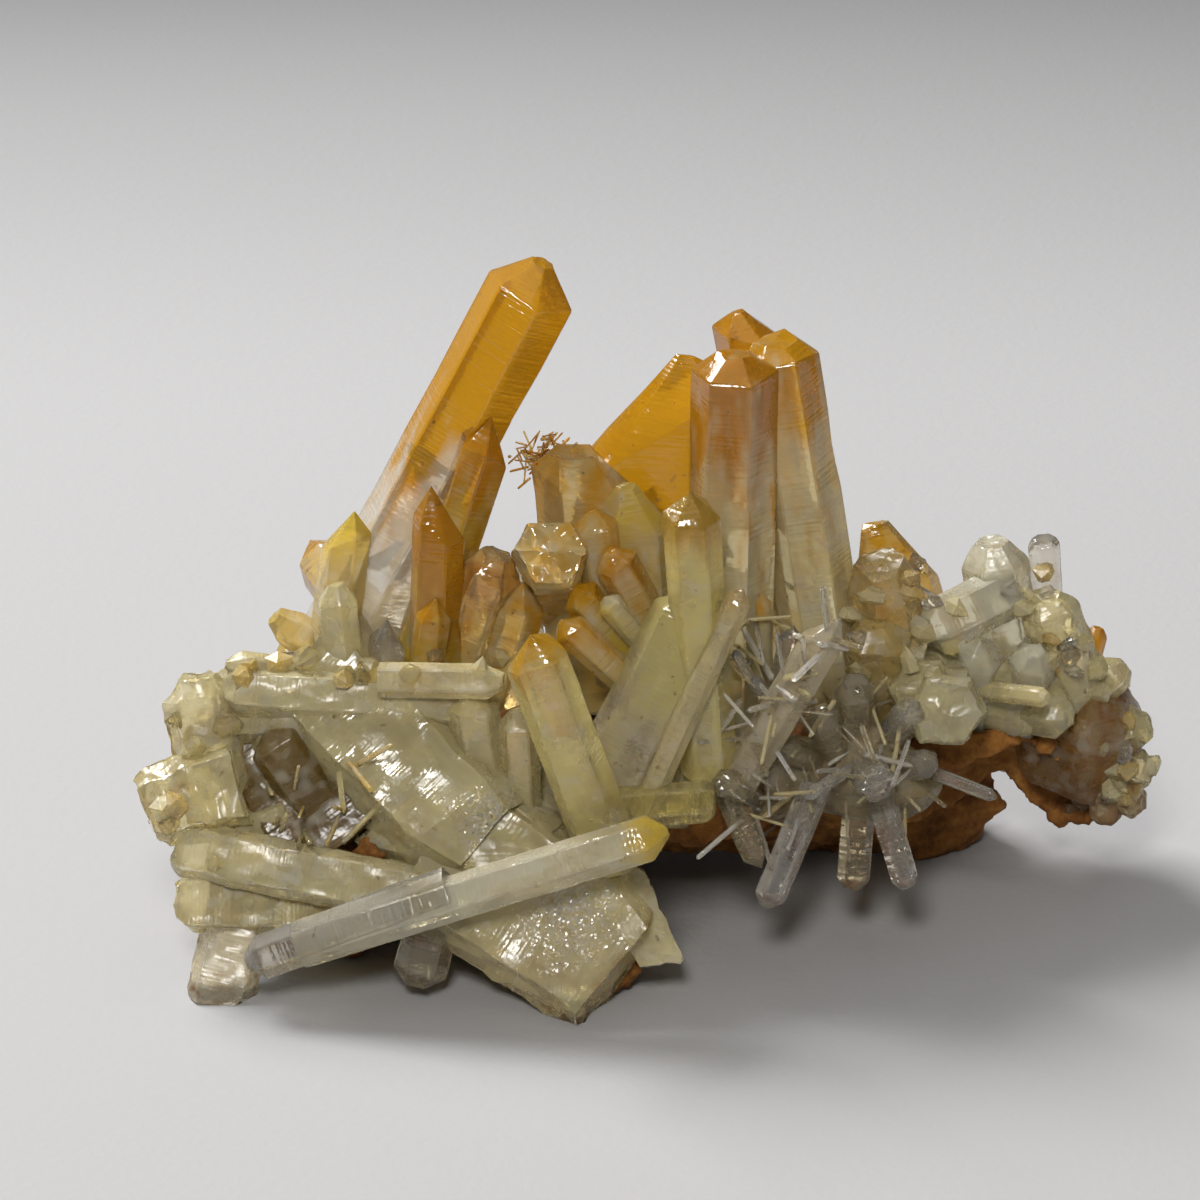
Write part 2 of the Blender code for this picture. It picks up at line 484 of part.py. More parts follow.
def main():
    clear_scene()
    cutters = [floor_cutter()]
    spent = []
    for name, crystals, plates, masses, colour in GROUPS:
        own = helpers_for(name + "_own", crystals, plates, masses, QUARTZ_SURFACE, 0.0)
        make_node(name, own, cutters, colour, QUARTZ_ROUGHNESS)
        spent.append(own)
        cutters.append(helpers_for(name + "_room", crystals, plates, masses, QUARTZ_SURFACE, GAP))
    rock = helpers_for("rock_own", [], [], ROCK_LUMPS, ROCK_SURFACE, 0.0)
    hollows = helpers_for("rock_hollows", [], [], ROCK_HOLLOWS, ROCK_SURFACE, 0.0)
    make_node("iron_stained_rock", rock, [*cutters, hollows], RUST, ROCK_ROUGHNESS)
    remove_helpers([*spent, *cutters, rock, hollows])


main()
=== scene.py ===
import math
import random

import bpy
import numpy as np
from mathutils.bvhtree import BVHTree
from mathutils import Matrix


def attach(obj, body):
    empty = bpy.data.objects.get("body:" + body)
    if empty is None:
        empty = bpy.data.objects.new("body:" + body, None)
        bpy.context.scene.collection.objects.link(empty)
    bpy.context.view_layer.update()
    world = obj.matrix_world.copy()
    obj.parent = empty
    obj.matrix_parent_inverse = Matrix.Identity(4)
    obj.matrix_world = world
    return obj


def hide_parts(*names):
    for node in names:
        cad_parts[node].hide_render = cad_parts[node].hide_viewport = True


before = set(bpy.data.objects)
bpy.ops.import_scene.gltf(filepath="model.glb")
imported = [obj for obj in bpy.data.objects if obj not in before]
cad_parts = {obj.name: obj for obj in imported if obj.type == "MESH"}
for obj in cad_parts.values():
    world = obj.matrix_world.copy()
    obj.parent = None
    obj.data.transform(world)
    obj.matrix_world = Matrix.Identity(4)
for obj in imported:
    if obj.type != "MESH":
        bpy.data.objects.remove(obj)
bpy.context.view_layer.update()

# The view: the cluster is seen from 25 degrees above the table, from far enough that its lines
# hardly converge. Places on the crystals are given on this view's picture plane, in millimetres.
MM = 0.001
VIEW_TILT = math.radians(25.0)
VIEW_DISTANCE = 620.0
VIEW_WIDTH = 120.0
SENSOR_WIDTH = 36.0
VIEW_MIDDLE = np.array((-4.2, 0.0, 36.5))
BOX_MIDDLE = np.array((1.0, 2.4, 0.0))
TO_VIEWER = np.array((0.0, -math.cos(VIEW_TILT), math.sin(VIEW_TILT)))
PICTURE_UP = np.array((0.0, math.sin(VIEW_TILT), math.cos(VIEW_TILT)))
EYE = VIEW_MIDDLE + VIEW_DISTANCE * TO_VIEWER


def seen(places):
    """Points in mm from (across, up, back): the ray from the eye through the picture plane's
    point, followed until it is so far back along Y."""
    places = np.atleast_2d(np.asarray(places, float))
    on_plane = VIEW_MIDDLE + places[:, :1] * (1.0, 0.0, 0.0) + places[:, 1:2] * PICTURE_UP
    ray = on_plane - EYE
    return EYE + ray * ((places[:, 2:] - EYE[1]) / ray[:, 1:2]) - BOX_MIDDLE


def make_camera():
    camera = bpy.data.objects.new("view", bpy.data.cameras.new("view"))
    camera.data.sensor_width = SENSOR_WIDTH
    camera.data.lens = SENSOR_WIDTH * VIEW_DISTANCE / VIEW_WIDTH
    camera.data.clip_start = 0.01
    camera.location = (EYE - BOX_MIDDLE) * MM
    camera.rotation_euler = (math.radians(90.0) - VIEW_TILT, 0.0, 0.0)
    bpy.context.scene.collection.objects.link(camera)
    bpy.context.scene.camera = camera


make_camera()

# The table and the light: a pale cloth that runs flat under the cluster and rises behind it, with
# shade painted on it in broad patches and where it lies far back, a soft lamp high up behind on the
# left, a broad one overhead, and a small one above the viewer.
CLOTH_COLOUR = (0.43, 0.426, 0.428)
CLOTH_HALF_WIDTH = 1.6
CLOTH_FRONT = -1.2
CLOTH_BEND = 0.34
CLOTH_RADIUS = 0.5
CLOTH_HEIGHT = 1.4
# Painted shade of folds: a slightly darker cloth colour laid on in broad patches.
FOLD_SHADE_CLOTH_COLOUR = (0.40, 0.396, 0.398)
# Painted shade: far back the cloth colour darkens to this dark grey, between these distances in metres, for
# the shade on the far cloth.
FAR_CLOTH_SHADE_COLOUR = (0.12, 0.12, 0.12)
FAR_SHADE_FROM_TO = (0.12, 0.36)
FOLDS_BEGIN = 0.06
FOLD_HEIGHT = 0.004
SKY_COLOUR = (1.0, 0.99, 0.98)
SKY_STRENGTH = 0.10
LIT_PLACE = (0.0, 0.0, 0.03)


class Wire:
    """One output of a shader node. Sums, differences and products add Math nodes."""

    def __init__(self, shader, socket):
        self.shader = shader
        self.socket = socket

    def maths(self, operation, first, second):
        return self.shader.node("ShaderNodeMath", {"operation": operation}, {0: first, 1: second})

    def __add__(self, other):
        return self.maths("ADD", self, other)

    def __radd__(self, other):
        return self.maths("ADD", other, self)

    def __sub__(self, other):
        return self.maths("SUBTRACT", self, other)

    def __rsub__(self, other):
        return self.maths("SUBTRACT", other, self)

    def __mul__(self, other):
        return self.maths("MULTIPLY", self, other)

    def __rmul__(self, other):
        return self.maths("MULTIPLY", other, self)


class Shader:
    """A material's nodes, begun from its Principled shader."""

    def __init__(self, name):
        self.material = bpy.data.materials.new(name)
        self.material.use_nodes = True
        self.nodes = self.material.node_tree.nodes
        self.links = self.material.node_tree.links
        self.principled = self.nodes["Principled BSDF"]

    def put(self, node, inputs):
        """Gives a node's sockets their values, or links them where the value is a wire."""
        for key, value in inputs.items():
            if isinstance(value, Wire):
                self.links.new(value.socket, node.inputs[key])
            else:
                node.inputs[key].default_value = value

    def node(self, kind, settings, inputs, output=0):
        """A node of this kind with its settings first, then its inputs, and one output as a wire."""
        made = self.nodes.new(kind)
        for key, value in settings.items():
            if key == "stops":
                while len(made.color_ramp.elements) < len(value):
                    made.color_ramp.elements.new(0.5)
                for element, (position, colour) in zip(made.color_ramp.elements, value):
                    element.position = position
                    element.color = colour
            else:
                setattr(made, key, value)
        self.put(made, inputs)
        return Wire(self, made.outputs[output])

    def vector(self, operation, first, second):
        return self.node("ShaderNodeVectorMath", {"operation": operation}, {0: first, 1: second})

    def attribute(self, name, output="Fac"):
        return self.node("ShaderNodeAttribute", {"attribute_name": name}, {}, output)

    def place(self, scale):
        """Object coordinates in metres, stretched by a scale along each axis."""
        coordinates = self.node("ShaderNodeTexCoord", {}, {}, "Object")
        return self.vector("MULTIPLY", coordinates, scale)

    def noise(self, vector, scale, detail, roughness=0.55):
        return self.node("ShaderNodeTexNoise", {},
                         {"Vector": vector, "Scale": scale, "Detail": detail, "Roughness": roughness})

    def step(self, value, low, high):
        """0 below low, 1 above high, and smooth between."""
        return self.node("ShaderNodeMapRange", {"interpolation_type": "SMOOTHSTEP"},
                         {"Value": value, "From Min": low, "From Max": high})

    def mix(self, amount, first, second):
        """Two colours mixed by an amount from 0 to 1."""
        return self.node("ShaderNodeMix", {"data_type": "RGBA"},
                         {0: amount, 6: first, 7: second}, 2)

    def bump(self, height, distance, strength=1.0):
        return self.node("ShaderNodeBump", {},
                         {"Height": height, "Distance": distance, "Strength": strength})


def cloth_sheet():
    """Two parameters: across, and along a profile that runs flat, bends up on an arc and rises.
    Behind the cluster soft folds lift it by sine waves that cross each other."""
    across = np.linspace(-CLOTH_HALF_WIDTH, CLOTH_HALF_WIDTH, 97)
    arc = np.linspace(0.0, math.radians(75.0), 24)
    flat_part = np.column_stack((np.linspace(CLOTH_FRONT, CLOTH_BEND, 62)[:-1], np.zeros(61)))
    bend = np.column_stack((CLOTH_BEND + CLOTH_RADIUS * np.sin(arc), CLOTH_RADIUS * (1.0 - np.cos(arc))))
    rise = bend[-1] + np.array((math.cos(arc[-1]), math.sin(arc[-1]))) * CLOTH_HEIGHT
    profile = np.vstack((flat_part, bend, rise))
    points = np.empty((len(profile), len(across), 3))
    points[:, :, 0] = across
    points[:, :, 1:] = profile[:, None, :]
    x, y = points[:, :, 0], points[:, :, 1]
    folds = np.sin(9.0 * x + 5.0 * y + 1.2) + 0.8 * np.sin(31.0 * y - 4.0 * x + 0.4)
    folds += 0.5 * np.sin(17.0 * x - 22.0 * y)
    points[:, :, 2] += FOLD_HEIGHT * (1.0 + folds / 2.3) * np.clip((y - FOLDS_BEGIN) / 0.16, 0.0, 1.0) ** 2
    index = np.arange(len(profile) * len(across)).reshape(len(profile), len(across))
    quads = np.stack((index[:-1, :-1], index[:-1, 1:], index[1:, 1:], index[1:, :-1]), axis=-1)
    mesh = bpy.data.meshes.new("cloth")
    mesh.from_pydata(points.reshape(-1, 3).tolist(), [], quads.reshape(-1, 4).tolist())
    mesh.shade_smooth()
    sheet = bpy.data.objects.new("cloth", mesh)
    bpy.context.scene.collection.objects.link(sheet)
    return sheet


def cloth_finish():
    """Pale woven cloth, a little darker in places and where it lies far back."""
    shader = Shader("pale cloth")
    place = shader.place((1.0, 1.0, 1.0))
    weave = shader.noise(place, 900.0, 2.0)
    # Painted shade of folds: broad patches where the colour is a little darker.
    folds = shader.noise(place, 3.0, 2.0)
    uneven = shader.mix(shader.step(folds, 0.3, 0.7) * 0.3,
                        (*CLOTH_COLOUR, 1.0), (*FOLD_SHADE_CLOTH_COLOUR, 1.0))
    # Painted shade: the colour darkens towards the back, for the shade on the far cloth.
    back = shader.node("ShaderNodeSeparateXYZ", {}, {0: place}, "Y")
    colour = shader.mix(shader.step(back, *FAR_SHADE_FROM_TO), uneven, (*FAR_CLOTH_SHADE_COLOUR, 1.0))
    shader.put(shader.principled, {
        "Base Color": colour, "Roughness": 0.9, "Specular IOR Level": 0.15,
        "Normal": shader.bump(weave, 0.00006),
    })
    return shader.material


def lamp(name, location, target, size, power, colour=(1.0, 1.0, 1.0)):
    """A square soft lamp that faces its target, all in metres."""
    light = bpy.data.lights.new(name, "AREA")
    light.shape = "RECTANGLE"
    light.size, light.size_y = size
    light.energy = power
    light.color = colour
    obj = bpy.data.objects.new(name, light)
    obj.location = location
    away = np.array(location) - np.array(target)
    flat_length = math.hypot(away[0], away[1])
    obj.rotation_euler = (math.atan2(flat_length, away[2]), 0.0, math.atan2(away[0], -away[1]))
    bpy.context.scene.collection.objects.link(obj)


table = cloth_sheet()
table.data.materials.append(cloth_finish())
lamp("window", (-0.58, 0.46, 0.96), LIT_PLACE, (0.6, 0.5), 19.4)
lamp("overhead", (0.1, 0.0, 1.25), LIT_PLACE, (1.2, 1.0), 2.2)
lamp("viewer's side", (-0.08, -0.69, 0.66), LIT_PLACE, (0.2, 0.2), 4.2, (1.0, 0.98, 0.95))
sky = bpy.data.worlds.new("sky")
sky.use_nodes = True
sky.node_tree.nodes["Background"].inputs["Color"].default_value = (*SKY_COLOUR, 1.0)
sky.node_tree.nodes["Background"].inputs["Strength"].default_value = SKY_STRENGTH
bpy.context.scene.world = sky
bpy.context.scene.view_settings.view_transform = "Standard"
bpy.context.scene.cycles.max_bounces = 9
bpy.context.scene.cycles.transmission_bounces = 8
bpy.context.scene.cycles.transparent_max_bounces = 8
bpy.context.scene.cycles.diffuse_bounces = 2
bpy.context.scene.cycles.glossy_bounces = 3

# The tall left points: the highest group, of clear to milky quartz that grew out of the middle and
# leans left and right. Iron clay shut in while they grew stains their upper ends mango yellow.
FACE_ANGLE = math.radians(60.0)
APOTHEM = math.cos(math.radians(30.0))
WORN_EDGE = 0.16
SHARP_ANGLE = math.radians(24.0)
SMOKINESS = 0.45
VEIL_THICKNESS = 0.05
VEIL_REACH = 0.34
WAVES = 10
STEP_HEIGHT = 0.1
STEP_NARROWS = 0.006
CROWN_RIPPLE = 0.045
OWN_PLACES_APART = np.array((13.7, 7.1, 3.3))
BODY_ROWS, BROKEN_ROWS = 9, 34
SIDE_PARTS, BROKEN_PARTS = 3, 12

CLEAR = (0.985, 0.95, 0.88)
PALE = (1.0, 0.89, 0.52)
MILK = (1.0, 0.88, 0.48)
BEIGE = (0.94, 0.71, 0.27)
GREENISH = (1.0, 0.87, 0.36)
# Dark olive, which also carries painted shade for the cave of the left block.
OLIVE_AND_CAVE_SHADE = (0.27, 0.165, 0.035)
GREY = (0.85, 0.75, 0.52)
CREAM = (1.0, 0.95, 0.74)
AMBER = (0.62, 0.38, 0.06)
SMOKE = (0.62, 0.49, 0.26)
YELLOW = (0.94, 0.68, 0.10)
MANGO = (0.80, 0.40, 0.012)
ORANGE = (0.68, 0.31, 0.012)
RED_BROWN = (0.56, 0.28, 0.07)
RUST = (0.42, 0.19, 0.04)

CLOUD = (0.95, 0.90, 0.74)
DIRT = (0.36, 0.20, 0.07)
SOIL = (0.34, 0.15, 0.035)
# Painted highlight: near-white that is mixed into the colour where the sparkling patches catch the glints.
PAINTED_GLINT_WHITE = (1.0, 0.99, 0.96)
QUARTZ_IOR = 1.544
UNSTAINED = (2.0, 3.0)

CLEAR_FINISH = 0
MANGO_FINISH = 1
MILKY_FINISH = 2
SPARKLING_FINISH = 3
HONEY_FINISH = 4


def unit(vector):
    return vector / np.linalg.norm(vector, axis=-1, keepdims=True)


def waviness(points, wavelength, seed):
    """A smooth height from -1 to 1 at each point: the scaled mean of sine waves in random
    directions with random phases, all of about one wavelength in mm."""
    rng = np.random.default_rng(seed)
    directions = unit(rng.normal(size=(WAVES, 3))) * rng.uniform(0.7, 1.4, (WAVES, 1))
    phases = rng.uniform(0.0, 2.0 * math.pi, WAVES)
    waves = np.sin(points @ directions.T * (2.0 * math.pi / wavelength) + phases)
    return waves.sum(axis=1) / math.sqrt(WAVES) / 1.4


def ring_faces(rows, columns):
    """Quads between the rows of a grid that closes around, facing out when the columns turn
    clockwise about the direction of the rows, then a fan of triangles at each pole."""
    index = np.arange(rows * columns).reshape(rows, columns)
    beside = np.roll(index, -1, axis=1)
    quads = np.stack((index[:-1], index[1:], beside[1:], beside[:-1]), axis=-1).reshape(-1, 4)
    first, last = rows * columns, rows * columns + 1
    low_fan = np.column_stack((index[0], beside[0], np.full(columns, first)))
    high_fan = np.column_stack((beside[-1], index[-1], np.full(columns, last)))
    return quads, np.vstack((low_fan, high_fan))


def chipped(points, faces, depth, seed):
    """A surface hollowed as quartz breaks: each point moved in along its normal by depth times the
    sizes of three waves, one half as long as the other, so that scoops meet in sharp ridges."""
    corners = points[faces]
    across = np.cross(corners[:, 1] - corners[:, 0], corners[:, 2] - corners[:, 0])
    normals = np.zeros_like(points)
    np.add.at(normals, faces.ravel(), np.repeat(across, 3, axis=0))
    scoops = np.abs(waviness(points, 7.0, seed)) + 0.45 * np.abs(waviness(points, 3.3, seed + 1))
    scoops += 0.22 * np.abs(waviness(points, 1.7, seed + 2))
    return points - unit(normals + 1e-9) * (scoops * depth)[:, None]


def surface(points, quads, fans, own_place, stain, body, stained, finish, **more):
    """One closed surface: its points and faces, and at each point its place in the crystal, how far
    the stain has gone, and the two colours it goes between."""
    return {
        "points": points, "quads": quads, "fans": fans, "own_place": own_place,
        "stain": np.zeros(len(points)) + stain,
        "body_colour": np.tile((*body, 1.0), (len(points), 1)),
        "stain_colour": np.tile((*stained, 1.0), (len(points), 1)),
        "finish": finish, "sparkle": np.zeros(len(points)), "rounded": False, **more,
    }


def rough_and_painted_glint_patch(points, sparkle):
    """1 in the middle of a sparkling patch, falling to 0 round it as a bell curve."""
    # The patch is rough, and the shader also paints a white highlight on it.
    if not sparkle:
        return np.zeros(len(points))
    place, reach = sparkle
    return np.exp(-(np.linalg.norm(points - seen(place), axis=1) / reach) ** 2)


def prism(start, end, width, flat=1.0, roll=0.0, point=0.5, blunt=0.0, slant=0.0, side=0.0,
          uneven=0.07, seed=1, finish=MANGO_FINISH, body=PALE, stain=MANGO, zone=(0.45, 0.8),
          sparkle=None, broken=0.0):
    """A quartz prism with a six-sided point, on a grid of around and along.

    Around: the six corners of a section whose faces stand at their own distances, each side cut
    into thirds, with a worn edge beside each corner. Along: the foot, the side with a few growth
    steps that each narrow it a little, the shoulder, whose height differs at each corner, and
    straight lines from there to the apex, or to a broken crown. point is the height of the point
    and blunt the size of its broken end, as shares of the width; slant lowers the shoulder by so
    many mm on one side. zone is where along the crystal its stain begins and is full. sparkle is a
    rough patch on which the shader also paints a white highlight: its place on the picture plane,
    and how far it reaches in mm. broken is how deep the scoops are on a crystal whose faces are
    broken.
    """
    rng = random.Random(seed)
    draws = np.array([rng.uniform(-1.0, 1.0) for _ in range(18)]).reshape(3, 6)
    length = float(np.linalg.norm(end - start))
    axis = unit(end - start)
    right = unit(np.cross(axis, TO_VIEWER))
    front = np.cross(right, axis)

    faces = np.arange(6)
    near = width / 2 * APOTHEM * np.where(faces % 3 == 1, flat, 1.0) * (1.0 + uneven * draws[0])
    far = np.roll(near, -1)
    a = FACE_ANGLE * (faces + 0.5) + math.radians(roll)
    b = a + FACE_ANGLE
    corners = np.column_stack((near * np.sin(b) - far * np.sin(a), far * np.cos(a) - near * np.cos(b)))
    corners /= math.sin(FACE_ANGLE)
    leaning = math.radians(side)
    toward = 0.5 + 0.5 * np.cos(np.arctan2(corners[:, 1], corners[:, 0]) - leaning)
    drop = point * width * (1.0 + 0.25 * draws[1]) + slant * toward
    shoulder = np.maximum(length - drop, 0.25 * length)
    crown = length + 0.1 * draws[2] * width * blunt
    apex = np.array((math.cos(leaning), math.sin(leaning))) * -0.3 * min(slant, width / 2)

    side_length = np.linalg.norm(np.roll(corners, -1, axis=0) - corners, axis=1)
    worn = np.minimum(WORN_EDGE / side_length, 0.2)
    parts = BROKEN_PARTS if broken else SIDE_PARTS
    shares = np.stack((worn, *[np.full(6, s / parts) for s in range(1, parts)], 1.0 - worn), axis=1)

    def around(values):
        """Values at the six corners, carried along each side to its columns."""
        beyond = np.roll(values, -1, axis=0)
        if values.ndim == 2:
            mixed = values[:, None] * (1.0 - shares[..., None]) + beyond[:, None] * shares[..., None]
            return mixed.reshape(-1, 2)
        return (values[:, None] * (1.0 - shares) + beyond[:, None] * shares).ravel()

    flat_place = around(corners)
    top = around(shoulder)
    crown_place = apex + flat_place * blunt
    crown_height = around(crown) if blunt else np.full(len(top), length)
    grain = np.random.default_rng(seed)

    rows = [np.column_stack((flat_place, np.zeros(len(top))))]
    steps = np.sort(grain.uniform(0.15, 0.9, 3))
    body_rows = np.linspace(0.04, 1.0, BROKEN_ROWS if broken else BODY_ROWS)
    heights = np.unique(np.concatenate((body_rows, steps, steps + STEP_HEIGHT / length)))
    narrowing = np.interp(heights, np.repeat(steps, 2) + np.tile((0.0, STEP_HEIGHT / length), 3),
                          np.repeat((0.0, 1.0, 2.0, 3.0), 2)[1:-1]) * STEP_NARROWS
    worn_height = np.minimum(WORN_EDGE, 0.1 * top)
    for height, narrow in zip(heights[heights <= 1.0], narrowing):
        rows.append(np.column_stack((flat_place * (1.0 - narrow), (top - worn_height) * height)))
    shrunk = flat_place * (1.0 - narrowing[heights <= 1.0][-1])
    shoulder_ring = np.column_stack((shrunk, top))
    crown_ring = np.column_stack((crown_place, crown_height))
    slope = np.linalg.norm(crown_ring - shoulder_ring, axis=1, keepdims=True)
    first = np.minimum(WORN_EDGE / slope, 0.2)
    for share in (0.0, 0.35, 0.7, 1.0):
        along = first + (1.0 - 2.0 * first) * share
        rows.append(shoulder_ring * (1.0 - along) + crown_ring * along)
    middle = np.append(apex, crown_height.mean())
    if blunt:
        for share in np.linspace(0.95, 0.1, 10) if broken else (0.94, 0.7, 0.4):
            inner = middle + (crown_ring - middle) * share
            ripple = waviness(inner, 0.5 + 0.45 * width * blunt, seed)
            inner[:, 2] -= np.abs(ripple) * CROWN_RIPPLE * width * blunt
            rows.append(inner)
    local = np.vstack((*rows, (0.0, 0.0, 0.0), middle))
    quads, fans = ring_faces(len(rows), len(top))
    points = start + local[:, :1] * right + local[:, 1:2] * front + local[:, 2:] * axis
    drift = waviness(points, max(3.0, width * 0.8), seed) * 0.012 * width
    points += drift[:, None] * unit(local[:, :1] * right + local[:, 1:2] * front + 1e-6)
    if broken:
        points = chipped(points, np.vstack((quads[:, :3], quads[:, (0, 2, 3)], fans)), broken, seed)
    amount = (local[:, 2] / length - zone[0]) / max(zone[1] - zone[0], 1e-3)
    return surface(points, quads, fans, local + OWN_PLACES_APART * seed, np.clip(amount, -0.6, 1.6),
                   body, stain, finish, sparkle=rough_and_painted_glint_patch(points, sparkle), rounded=broken > 0.0)


def crystal(foot, tip, width, **look):
    """A prism between two places on the picture plane."""
    return prism(*seen((foot, tip)), width, **look)


def small_prism(start, end, width, seed, body=PALE, stain=MANGO, zone=(0.4, 1.0), finish=CLEAR_FINISH):
    """A small prism or needle on a grid of six columns and two rows, foot and shoulder, and a pole
    at each end. Its faces stand at uneven distances, and its shoulder is at six heights."""
    rng = np.random.default_rng(seed)
    length = float(np.linalg.norm(end - start))
    axis = unit(end - start)
    right = unit(np.cross(axis, TO_VIEWER + 1e-3))
    front = np.cross(right, axis)
    turn = FACE_ANGLE * np.arange(6) + rng.uniform(0.0, 1.0)
    section = np.column_stack((np.cos(turn), np.sin(turn))) * width / 2 * rng.uniform(0.85, 1.15, (6, 1))
    shoulder = np.maximum(length - width * rng.uniform(0.35, 0.95, 6), 0.3 * length)
    local = np.vstack((np.column_stack((section, np.zeros(6))), np.column_stack((section * 0.96, shoulder)),
                       (0.0, 0.0, 0.0), (*rng.uniform(-0.12, 0.12, 2) * width, length)))
    quads, fans = ring_faces(2, 6)
    points = start + local[:, :1] * right + local[:, 1:2] * front + local[:, 2:] * axis
    amount = (local[:, 2] / length - zone[0]) / (zone[1] - zone[0])
    return surface(points, quads, fans, local + OWN_PLACES_APART * (seed % 97),
                   np.clip(amount, -0.6, 1.6), body, stain, finish)


def veils(foot, tip, width, count, seed):
    """Healed cracks inside a crystal: thin lenses on a grid of around and out, whose edge and
    bulge follow waves, strewn along the axis and each turned its own way."""
    rng = np.random.default_rng(seed + 500)
    start, end = seen((foot, tip))
    turn = np.linspace(0.0, 2.0 * math.pi, 12, endpoint=False)[::-1]
    made = []
    for _ in range(count):
        normal = unit(unit(end - start) * rng.uniform(0.3, 1.0) + rng.normal(size=3) * 0.5)
        beside = unit(np.cross(normal, (0.3, 0.9, 0.2)))
        middle = start + (end - start) * rng.uniform(0.15, 0.66) + rng.normal(size=3) * width * 0.07
        radius = width * VEIL_REACH * rng.uniform(0.4, 1.0)
        radius = radius * (1.0 + 0.3 * np.sin(3.0 * turn + rng.uniform(0.0, 6.0)))
        rim = np.cos(turn)[:, None] * beside + np.sin(turn)[:, None] * np.cross(normal, beside)
        rim = rim * radius[:, None]
        lift = normal * VEIL_THICKNESS
        points = np.vstack((middle + rim * 0.6 - lift, middle + rim, middle + rim * 0.6 + lift,
                            middle - lift, middle + lift))
        quads, fans = ring_faces(3, len(turn))
        made.append(surface(points, quads, fans, points * 2.0 + seed, -0.6, CLEAR, CLEAR, MILKY_FINISH))
    return made


def crystals(rows, veil_counts=()):
    """The prisms of a group, then the veils inside them, so many in each, the first in the first."""
    inside = [veil for row, count in zip(rows, veil_counts)
              for veil in veils(row["foot"], row["tip"], row["width"], count, row["seed"])]
    return [crystal(**row) for row in rows] + inside


def solids_tree():
    """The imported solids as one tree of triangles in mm, to find what a ray strikes first."""
    points, triangles, count = [], [], 0
    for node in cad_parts.values():
        flat = np.empty(len(node.data.vertices) * 3, np.float32)
        node.data.vertices.foreach_get("co", flat)
        points.append(flat.reshape(-1, 3) / MM)
        triangles += [tuple(v + count for v in polygon.vertices) for polygon in node.data.polygons]
        count += len(node.data.vertices)
    return BVHTree.FromPolygons(np.vstack(points).tolist(), triangles)


SOLIDS = solids_tree()


def small_growth(low, high, count, seed, lengths, widths, tilt, looks, from_behind=False):
    """Small prisms that stand on whatever the ray to each of many random places strikes, each a
    little turned from the surface's own direction, with their feet inside it. The places lie in a
    rectangle from low to high: (across, up) on the picture plane, or (x, z) from behind."""
    places = np.random.default_rng(seed - 1).uniform(low, high, (count, 2))
    rng = np.random.default_rng(seed)
    grown = []
    for i, (across, up) in enumerate(places):
        if from_behind:
            origin, way = np.array((across, 120.0, up)), np.array((0.0, -1.0, 0.0))
        else:
            origin = EYE - BOX_MIDDLE
            way = unit(VIEW_MIDDLE + np.array((across, 0.0, 0.0)) + up * PICTURE_UP - EYE)
        struck, normal, _, _ = SOLIDS.ray_cast(origin.tolist(), way.tolist())
        length, width = rng.uniform(*lengths), rng.uniform(*widths)
        turned = rng.normal(size=3) * tilt
        if struck is None:
            continue
        axis = unit(np.array(normal) + turned)
        foot = np.array(struck) - axis * min(1.0, 0.4 * length)
        look = looks[i % len(looks)]
        grown.append(small_prism(foot, foot + axis * length, width, seed * 1000 + i, **look))
    return grown


